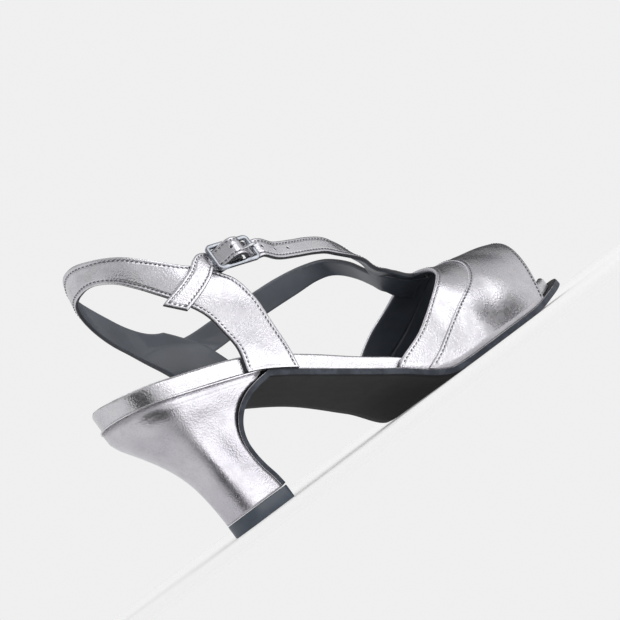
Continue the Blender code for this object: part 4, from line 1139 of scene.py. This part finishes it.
def heel_section(front, back, breast, widest, seat, count):
    """A section of the heel: from its front edge round the outer side, the back and the inner."""
    front_x, front_z = front
    back_x, back_z = back
    seat_front = along_to_x(0.0) + SEAT_REACH
    seat_half = float(half_width(seat_front, "outer"))
    out = []
    for sign, side in ((-1, "outer"), (1, "inner")):
        points = []
        for turn in np.linspace(0, 1, count):
            share = math.sin(turn * math.pi / 2) ** BACK_GATHER
            swell = breast + (widest - breast) * float(blend(0.0, SWELL_BY, share))
            start = BACK_TURN_FROM - SEAT_TURN_SOONER * seat
            bend = max(0.0, (share - start) / (1 - start))
            curve = swell * max(1 - bend**BACK_TURN_POWER, 0.0) ** (1 / BACK_TURN_POWER)
            top_x = along_to_x(0.0) + SEAT_REACH * (1 - share)
            outline = float(half_width(top_x, side)) * widest / seat_half
            points.append((front_x + (back_x - front_x) * share,
                           sign * ((1 - seat) * curve + seat * outline),
                           front_z + (back_z - front_z) * share))
        out.append(points)
    outer, inner = out
    outer[-1] = inner[-1] = (back_x, 0.0, back_z)
    across = [(front_x, outer[0][1] + (inner[0][1] - outer[0][1]) * s, front_z)
              for s in (0.8, 0.6, 0.4, 0.2)]
    return outer + inner[-2::-1] + across


def make_heel():
    """The covered heel block."""
    seat_front = along_to_x(0.0) + SEAT_REACH
    seat_half = float(half_width(seat_front, "outer"))
    rows = []
    for row in HEEL_ROWS:
        named = dict(zip(HEEL_COLUMNS, row))
        rows.append((named["front"] * HEEL_OVERHANG, named["front_height"] * HEEL_LIFT,
                     named["back"] * HEEL_OVERHANG, named["back_height"] * HEEL_LIFT,
                     named["breast"] * seat_half, named["widest"] * seat_half, named["seat"]))
    top = heel_section((seat_front, float(insole_bottom(seat_front)) - GAP),
                       (along_to_x(0.0), float(insole_bottom(along_to_x(0.0))) - GAP),
                       seat_half, seat_half, 1.0, 41)
    rings = [top]
    for fx, fz, bx, bz, breast, widest, seat in through(rows, 60):
        rings.append(heel_section((fx, max(fz, TIP_THICK + GAP)), (bx, max(bz, TIP_THICK + GAP)),
                                  breast, widest, float(np.clip(seat, 0, 1)), 41))
    loft("heel_cover", rings, (PEWTER_HEEL,), [0] * len(rings[0]), "heel")
    round_back = np.array(top[:81])
    round_back[:, 2] += GAP / 2
    # The seat bead is the wrap's edge, coloured with the lighter leather copy: a painted highlight along
    # the top of the heel cover
    bead = sweep(round_back, (0.42 * MM, 0.36 * MM), 10)
    loft("seat_bead", bead, (HIGHLIGHT_EDGE_LEATHER,), [0] * 10, "heel")


def make_tip():
    """The rubber top piece, with its cut edge broken and ribs on the ground face."""
    rings = []
    for z, inset in ((0.0, 0.25), (0.15, 0.08), (0.35, 0.0), (3.0, 0.0), (5.75, 0.0), (5.95, 0.08),
                     (6.0, 0.2)):
        inset *= MM
        rings.append(heel_section(
            (TIP_FRONT - inset, z * MM), (TIP_FRONT - TIP_LENGTH + inset, z * MM),
            TIP_FRONT_WIDTH / 2 - inset, TIP_WIDTH / 2 - inset, 0.0, 33))
    obj = loft("tip_rubber", rings, (RUBBER, RUBBER_RIBS), [0] * len(rings[0]), "heel_tip")
    ground = min(obj.data.polygons, key=lambda f: f.center.z)
    ground.material_index = 1


# Upper


def make_vamp():
    """The toe's two pieces: the band behind and the front panel that overlies it."""
    turns = np.linspace(0, 1, 49) ** FOOT_CROWDING
    turns = np.concatenate([-turns[::-1], turns[1:]])
    centre = (along_to_x(0.75), 0, 10 * MM)

    def skin(start, end, shares):
        grid = []
        for share in shares:
            row = []
            for turn in turns:
                a, b = vamp_edge(start, turn), vamp_edge(end, turn)
                row.append(last_point(a + (b - a) * share, turn))
            grid.append(row)
        return np.array(grid)

    def seated(grid):
        for row in grid:
            for point in (row[0], row[-1]):
                point[2] = float(insole_bottom(point[0]))
        return grid

    for name, start, end, shares, lift, sewn in (
            ("vamp_band", VAMP_REAR, VAMP_SEAM, np.linspace(0, 1.06, 17), 0.0, ("start",)),
            ("vamp_panel", VAMP_SEAM, VAMP_FRONT, np.linspace(0, 1, 41), OVERLAY_STEP,
             ("start", "end"))):
        grid = skin(start, end, shares)
        normals = grid_normals(grid, centre)
        outer = press(grid + normals * lift, normals, VAMP_CREASES)
        inner = grid - normals * UPPER_WALL
        if name == "vamp_panel":
            inner = grid - normals * np.where(np.arange(len(shares)) < 2, -0.02 * MM,
                                              UPPER_WALL)[:, None, None]
        leather_wall(name, seated(outer), seated(inner), LEATHER_SET, "upper",
                     sewn, FOLDED_EDGE)
        ends = (1.6 * MM, 1.6 * MM)
        for edge in sewn:
            path, ups = inset_path(outer, normals, edge, trim=ends)
            sew(f"{name}_stitches_{edge}", path, ups, "upper")


def make_sling():
    """The two quarters and the band round the heel, in one."""
    rows = []
    for row in SLING_ROWS:
        named = dict(zip(SLING_COLUMNS, row))
        lower = sling_point(named["lower_turn"], named["lower_rise"] * SLING_HEIGHT)
        upper = sling_point(named["upper_turn"], named["upper_rise"] * SLING_HEIGHT)
        rows.append((*lower, *upper, named["lower_turn"], named["upper_turn"]))
    dense = through(rows, 190)
    grid = []
    for index, row in enumerate(dense):
        line = []
        for share in np.linspace(0, 1, 21):
            z = row[2] + (row[5] - row[2]) * share
            turn = row[6] + (row[7] - row[6]) * share
            point = list(sling_point(turn, z))
            if index in (0, len(dense) - 1):
                point[2] = float(insole_bottom(point[0]))
            line.append(point)
        grid.append(line)
    grid = np.array(grid)
    normals = grid_normals(grid, (ANKLE_CENTRE, 0, 90 * MM))
    outer = press(grid, normals, QUARTER_CREASES)
    inner = grid - normals * UPPER_WALL
    inner[0, :, 2] = grid[0, :, 2]
    inner[-1, :, 2] = grid[-1, :, 2]
    leather_wall("quarters_and_sling", outer, inner, LEATHER_SET, "upper",
                 ("left", "right"))
    for edge in ("left", "right"):
        path, ups = inset_path(outer, normals, edge, trim=(1.2 * MM, 1.2 * MM))
        sew(f"quarter_stitches_{edge}", path, ups, "upper")


def strap_edge(along, side, rise):
    x = along_to_x(along)
    y = side * BALL_WIDTH
    return x, y, on_last(x, y) if rise is NONE else rise * INSTEP_HEIGHT


def make_instep_strap():
    """The strap from the inner quarter over the instep to the vamp, lapped under both."""
    rows = []
    for row in INSTEP_STRAP:
        named = dict(zip(STRAP_COLUMNS, row))
        low = strap_edge(named["low_along"], named["low_side"], named["low_rise"])
        high = strap_edge(named["high_along"], named["high_side"], named["high_rise"])
        conform = 1.0 if named["low_rise"] is NONE else 0.0
        rows.append((*low, *high, named["sink"], conform, named["hug"]))
    grid, sinks, hugs = [], [], []
    for row in through(rows, 110):
        low, high = row[:3], row[3:6]
        line = []
        for share in np.linspace(0, 1, 15):
            point = low + (high - low) * share
            point[2] += (on_last(point[0], point[1]) - point[2]) * float(np.clip(row[7], 0, 1))
            quarter = drawn_in(point[0], ankle_breadth(1, point[2]), point[2])
            point[1] += (quarter - point[1]) * float(np.clip(row[8], 0, 1))
            line.append(point)
        grid.append(line)
        sinks.append(row[6])
        hugs.append(float(np.clip(row[8], 0, 1)))
    grid = np.array(grid)
    normals = grid_normals(grid, (along_to_x(0.5), 0, 30 * MM))
    sink = LAP * np.array(sinks)[:, None, None]
    lapped = np.array(hugs)[:, None, None]
    outer = grid - normals * sink
    inner = grid - normals * (lapped * (UPPER_WALL - LAP_SHOWS)
                              + (1 - lapped) * (sink + UPPER_WALL))
    leather_wall("instep_strap", outer, inner, LEATHER_SET, "upper",
                 ("left", "right"))
    for edge in ("left", "right"):
        path, ups = inset_path(outer, normals, edge, trim=(34 * MM, 14 * MM))
        sew(f"instep_stitches_{edge}", path, ups, "upper")


def thread_clearance(share):
    """How far the strap's middle lies over or under the buckle's plane, as it is threaded."""
    over = BAR / 2 + GAP + ELASTIC_THICK + GAP + PRONG * 0.4 + UPPER_WALL / 2
    under = BAR / 2 + GAP + UPPER_WALL / 2
    return over * share if share > 0 else under * share


def fastener_line():
    """The fastening strap's middle line with its normals, from under the vamp to its cut end."""
    line = []
    step = MM
    for along, side, sink in FASTENER_ON_LAST:
        x = along_to_x(along)
        y = side * BALL_WIDTH
        slope_x = (on_last(x + step, y) - on_last(x - step, y)) / (2 * step)
        slope_y = (on_last(x, y + step) - on_last(x, y - step)) / (2 * step)
        normal = np.array([-slope_x, -slope_y, 1.0])
        normal /= np.linalg.norm(normal)
        place = np.array([x, y, on_last(x, y)]) - normal * (LAP * sink + UPPER_WALL / 2)
        line.append((*place, *normal))
    for rows in (FASTENER_FREE, THREAD_ROWS, TAIL_ROWS):
        for row in rows:
            if rows is THREAD_ROWS:
                place = on_buckle((row[0] * BUCKLE_LENGTH / 2, 0, thread_clearance(row[1])))
                line.append((*place, *BUCKLE_OUT))
            else:
                lean = math.radians(row[3])
                line.append((along_to_x(row[0]), row[1] * BALL_WIDTH, row[2] * INSTEP_HEIGHT,
                             0.0, -math.sin(lean), math.cos(lean)))
    return line


def punch_holes(outer, normals, places):
    """Punched holes down the strap's middle: a dark disc, painted shade standing in for the hole's depth,
    with the leather raised round it.
    """
    middle = outer.shape[1] // 2
    line, ups = outer[:, middle], normals[:, middle]
    run = lengths(outer, 0)[:, middle]
    turn = np.linspace(0, 2 * math.pi, HOLE_SIDES, endpoint=False)
    for number, place in enumerate(places, 1):
        centre = np.array([np.interp(place, run, line[:, k]) for k in range(3)])
        up = np.array([np.interp(place, run, ups[:, k]) for k in range(3)])
        ahead = np.array([np.interp(place + MM, run, line[:, k]) for k in range(3)]) - centre
        ahead -= up * (ahead @ up)
        ahead /= np.linalg.norm(ahead)
        side = np.cross(up, ahead)
        rings = []
        for radius, height in HOLE_RINGS:
            rings.append(centre + up * height * MM + radius * MM * (
                np.cos(turn)[:, None] * ahead + np.sin(turn)[:, None] * side))
        rings = np.array(rings)
        faces = grid_faces(len(rings), HOLE_SIDES, closed=True)
        # The dark disc inside the raised ring is painted shade in place of the open hole
        parts = [0] * HOLE_SIDES + [1] * (len(faces) - HOLE_SIDES)
        last = (len(rings) - 1) * HOLE_SIDES
        faces += [tuple(range(HOLE_SIDES))[::-1], tuple(last + j for j in range(HOLE_SIDES))]
        add_piece(f"punched_hole_{number}", rings.reshape(-1, 3), faces, (EDGE, PEWTER_PLAIN),
                  parts + [0, 0], "upper")


def make_fastener():
    """The fastening strap: one ribbon from the vamp, through the buckle to its pointed end."""
    count = 250
    dense = through(fastener_line(), count)
    middle = dense[:, :3]
    forward = np.gradient(middle, axis=0)
    forward /= np.linalg.norm(forward, axis=1, keepdims=True)
    normal = dense[:, 3:6]
    normal = normal - forward * (normal * forward).sum(1, keepdims=True)
    normal /= np.linalg.norm(normal, axis=1, keepdims=True)
    across = np.cross(forward, normal)
    across *= np.sign(across[-1, 2])
    shares = np.linspace(-0.5, 0.5, 13)
    grid = middle[:, None] + across[:, None] * shares[None, :, None] * STRAP_WIDTH
    run_on = np.clip(1 - np.arange(count)[::-1] / (3 * count / 84), 0, 1)[:, None, None]
    slant = (0.5 + shares)[None, :, None] * TAIL_CUT
    grid = grid + forward[:, None] * slant * run_on
    normals = np.broadcast_to(normal[:, None], grid.shape)
    outer = press(grid + normals * UPPER_WALL / 2, normals, STRAP_CREASES)
    inner = grid - normals * UPPER_WALL / 2
    leather_wall("fastening_strap", outer, inner, LEATHER_SET, "upper",
                 ("left", "right", "end"))
    for edge, trim in (("left", (14 * MM, 1.4 * MM)), ("right", (14 * MM, 1.4 * MM)),
                       ("end", (1.4 * MM, 1.4 * MM))):
        path, ups = inset_path(outer, normals, edge, inset=1.25 * MM, trim=trim)
        sew(f"strap_stitches_{edge}", path, ups, "upper")
    hump = lengths(outer, 0)[np.argmin(np.linalg.norm(middle - BUCKLE_CENTRE, axis=1)), 6]
    punch_holes(outer, normals, [hump + place for place in HOLE_PLACES])


# Buckle


def rounded_oblong(half_length, half_breadth, corner):
    run = []
    for sx, sy, start in ((1, 1, 0), (-1, 1, 90), (-1, -1, 180), (1, -1, 270)):
        for turn in range(0, 91, 10):
            angle = math.radians(start + turn)
            run.append((sx * (half_length - corner) + corner * math.cos(angle),
                        sy * (half_breadth - corner) + corner * math.sin(angle), 0))
    return run


def make_buckle():
    """The frame of squared wire with its centre bar, and the prong."""
    half_length = BUCKLE_LENGTH / 2 - BAR / 2
    half_breadth = BUCKLE_WIDTH / 2 - BAR / 2
    path = rounded_oblong(half_length, half_breadth, BUCKLE_CORNER)
    size = 24
    rings = sweep(path, (BAR / 2, BAR / 2), size, 3.6, closed=True)
    points = on_buckle(rings).reshape(-1, 3)
    rows = len(path)
    faces = grid_faces(rows, size, closed=True)
    for j in range(size):
        a, b = (rows - 1) * size + j, (rows - 1) * size + (j + 1) % size
        faces.append((a, b, (j + 1) % size, j))
    add_piece("buckle_frame_bright", points, faces, (GUNMETAL,), [0] * len(faces),
              "buckle_frame")
    bar = [(0, y, 0) for y in np.linspace(-half_breadth, half_breadth, 12)]
    thin = BAR / 2 * CENTRE_BAR_SHARE
    loft("buckle_centre_bar", on_buckle(sweep(bar, (thin, thin), 20)),
         (GUNMETAL,), [0] * 20, "buckle_frame")

    curl = BAR / 2 + GAP + PRONG / 2
    run = [(curl * math.cos(math.radians(t)), 0, curl * math.sin(math.radians(t)))
           for t in range(60, 331, 30)]
    run += [(curl + 1.0 * MM, 0, -0.1 * MM), (half_length - PRONG_FLAT, 0, curl),
            (half_length + PRONG_REACH, 0, curl)]
    path = through(run, 90)
    place = np.linspace(0, 1, 90)
    wide = PRONG / 2 * np.interp(place, [0, 0.03, 0.95, 1], [0.7, 1, 0.92, 0.55])
    flat = PRONG / 2 * np.interp(place, [0, 0.03, 0.6, 0.95, 1], [0.7, 1, 1, 0.75, 0.35])
    forward = np.gradient(path, axis=0)
    up = np.cross(np.broadcast_to((0, 1.0, 0), forward.shape), forward)
    rings = sweep(path, np.c_[wide, flat], 16, 2.4, up=-up)
    loft("buckle_prong_bright", on_buckle(rings), (GUNMETAL_PRONG,), [0] * 16, "buckle_prong")


# Studio


def make_floor():
    """A round pale floor that fades out into the paper."""
    floor_mesh = bpy.data.meshes.new("floor")
    rings = 40
    spokes = 96
    points = [(0, 0, 0)]
    for i in range(1, rings + 1):
        radius = 3.2 * (i / rings) ** 1.6
        points += [(0.08 + radius * math.cos(a), radius * math.sin(a), 0)
                   for a in np.linspace(0, 2 * math.pi, spokes, endpoint=False)]
    faces = [(0, 1 + j, 1 + (j + 1) % spokes) for j in range(spokes)]
    for i in range(rings - 1):
        for j in range(spokes):
            a = 1 + i * spokes + j
            b = 1 + i * spokes + (j + 1) % spokes
            faces.append((a, a + spokes, b + spokes, b))
    floor_mesh.from_pydata(points, [], faces)
    floor = bpy.data.objects.new("floor", floor_mesh)
    bpy.context.scene.collection.objects.link(floor)
    look = Finish("pale_floor", roughness=1.0)
    look.shader.inputs["Specular IOR Level"].default_value = 0.0
    spot = look.place()
    look.shade("Base Color", look.mix(look.noise(spot, 0.3, 2.0), tint(0.84, 0.84, 0.84),
                                      tint(0.85, 0.85, 0.85)))
    look.shader.inputs["Emission Color"].default_value = tint(1, 1, 1)
    look.shader.inputs["Emission Strength"].default_value = FLOOR_LIFT
    reach = look.node("ShaderNodeVectorMath", {0: spot, 1: (0.08, 0, 0)},
                      output="Value", operation="DISTANCE")
    look.shade("Alpha", 1.0 - look.span(reach, 0.12, 0.60))
    floor_mesh.materials.append(look.material)


def make_paper():
    """The paper all round, which darkens to the ceiling."""
    world = bpy.data.worlds.new("studio")
    world.use_nodes = True
    tree = world.node_tree
    sky = tree.nodes["Background"]
    spot = tree.nodes.new("ShaderNodeTexCoord")
    split = tree.nodes.new("ShaderNodeSeparateXYZ")
    ramp = tree.nodes.new("ShaderNodeValToRGB")
    ramp.color_ramp.interpolation = "EASE"
    ramp.color_ramp.elements[0].position = 0.14
    ramp.color_ramp.elements[0].color = (*[PAPER] * 3, 1)
    ramp.color_ramp.elements[1].position = 0.75
    ramp.color_ramp.elements[1].color = (*[ZENITH] * 3, 1)
    tree.links.new(spot.outputs["Generated"], split.inputs["Vector"])
    tree.links.new(split.outputs["Z"], ramp.inputs["Fac"])
    tree.links.new(ramp.outputs["Color"], sky.inputs["Color"])
    bpy.context.scene.world = world
    bpy.context.scene.view_settings.view_transform = "Standard"


def make_lights():
    aim = Vector((0.08, 0, 0.05))
    for name, azimuth, height, distance, wide, tall, glow in SOFT_LIGHTS:
        light = bpy.data.lights.new(name, "AREA")
        light.shape = "RECTANGLE"
        light.size = wide
        light.size_y = tall
        light.energy = glow * math.pi * wide * tall
        lamp = bpy.data.objects.new(name, light)
        a, h = math.radians(azimuth), math.radians(height)
        lamp.location = aim + distance * Vector((math.cos(a) * math.cos(h),
                                                 math.sin(a) * math.cos(h), math.sin(h)))
        lamp.rotation_euler = (aim - lamp.location).to_track_quat("-Z", "Y").to_euler()
        bpy.context.scene.collection.objects.link(lamp)


def make_cards():
    """Dark flags and a bright card that shape the gloss on the leather and show nowhere else."""
    for name, corners, glow in CARDS:
        mesh = bpy.data.meshes.new(name)
        mesh.from_pydata(corners, [], [(0, 1, 2, 3)])
        cloth = Finish(name + "_cloth", roughness=1.0, emission_strength=glow)
        cloth.shader.inputs["Emission Color"].default_value = tint(1, 1, 1)
        cloth.shade("Base Color", cloth.mix(cloth.noise(cloth.place(), 0.1),
                                            tint(0.01, 0.01, 0.01), tint(0.02, 0.02, 0.02)))
        mesh.materials.append(cloth.material)
        card = bpy.data.objects.new(name, mesh)
        bpy.context.scene.collection.objects.link(card)
        card.visible_camera = False
        card.visible_shadow = False
        card.visible_diffuse = False


def make_camera():
    data = bpy.data.cameras.new("camera")
    data.lens = LENS
    data.sensor_width = SENSOR
    data.clip_start = 0.05
    data.clip_end = 20
    camera = bpy.data.objects.new("camera", data)
    forward = Vector(CAMERA_FORWARD).normalized()
    right = Vector(CAMERA_RIGHT).normalized()
    up = right.cross(forward)
    turn = Matrix((right, up, -forward)).transposed()
    camera.matrix_world = Matrix.Translation(Vector(CAMERA_PLACE)) @ turn.to_4x4()
    bpy.context.scene.collection.objects.link(camera)
    bpy.context.scene.camera = camera


make_outsole()
make_insole()
make_heel()
make_tip()
make_vamp()
make_sling()
make_instep_strap()
make_fastener()
make_buckle()
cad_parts["elastic_loop"].data.materials.clear()
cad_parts["elastic_loop"].data.materials.append(ELASTIC)
make_floor()
make_paper()
make_lights()
make_cards()
make_camera()
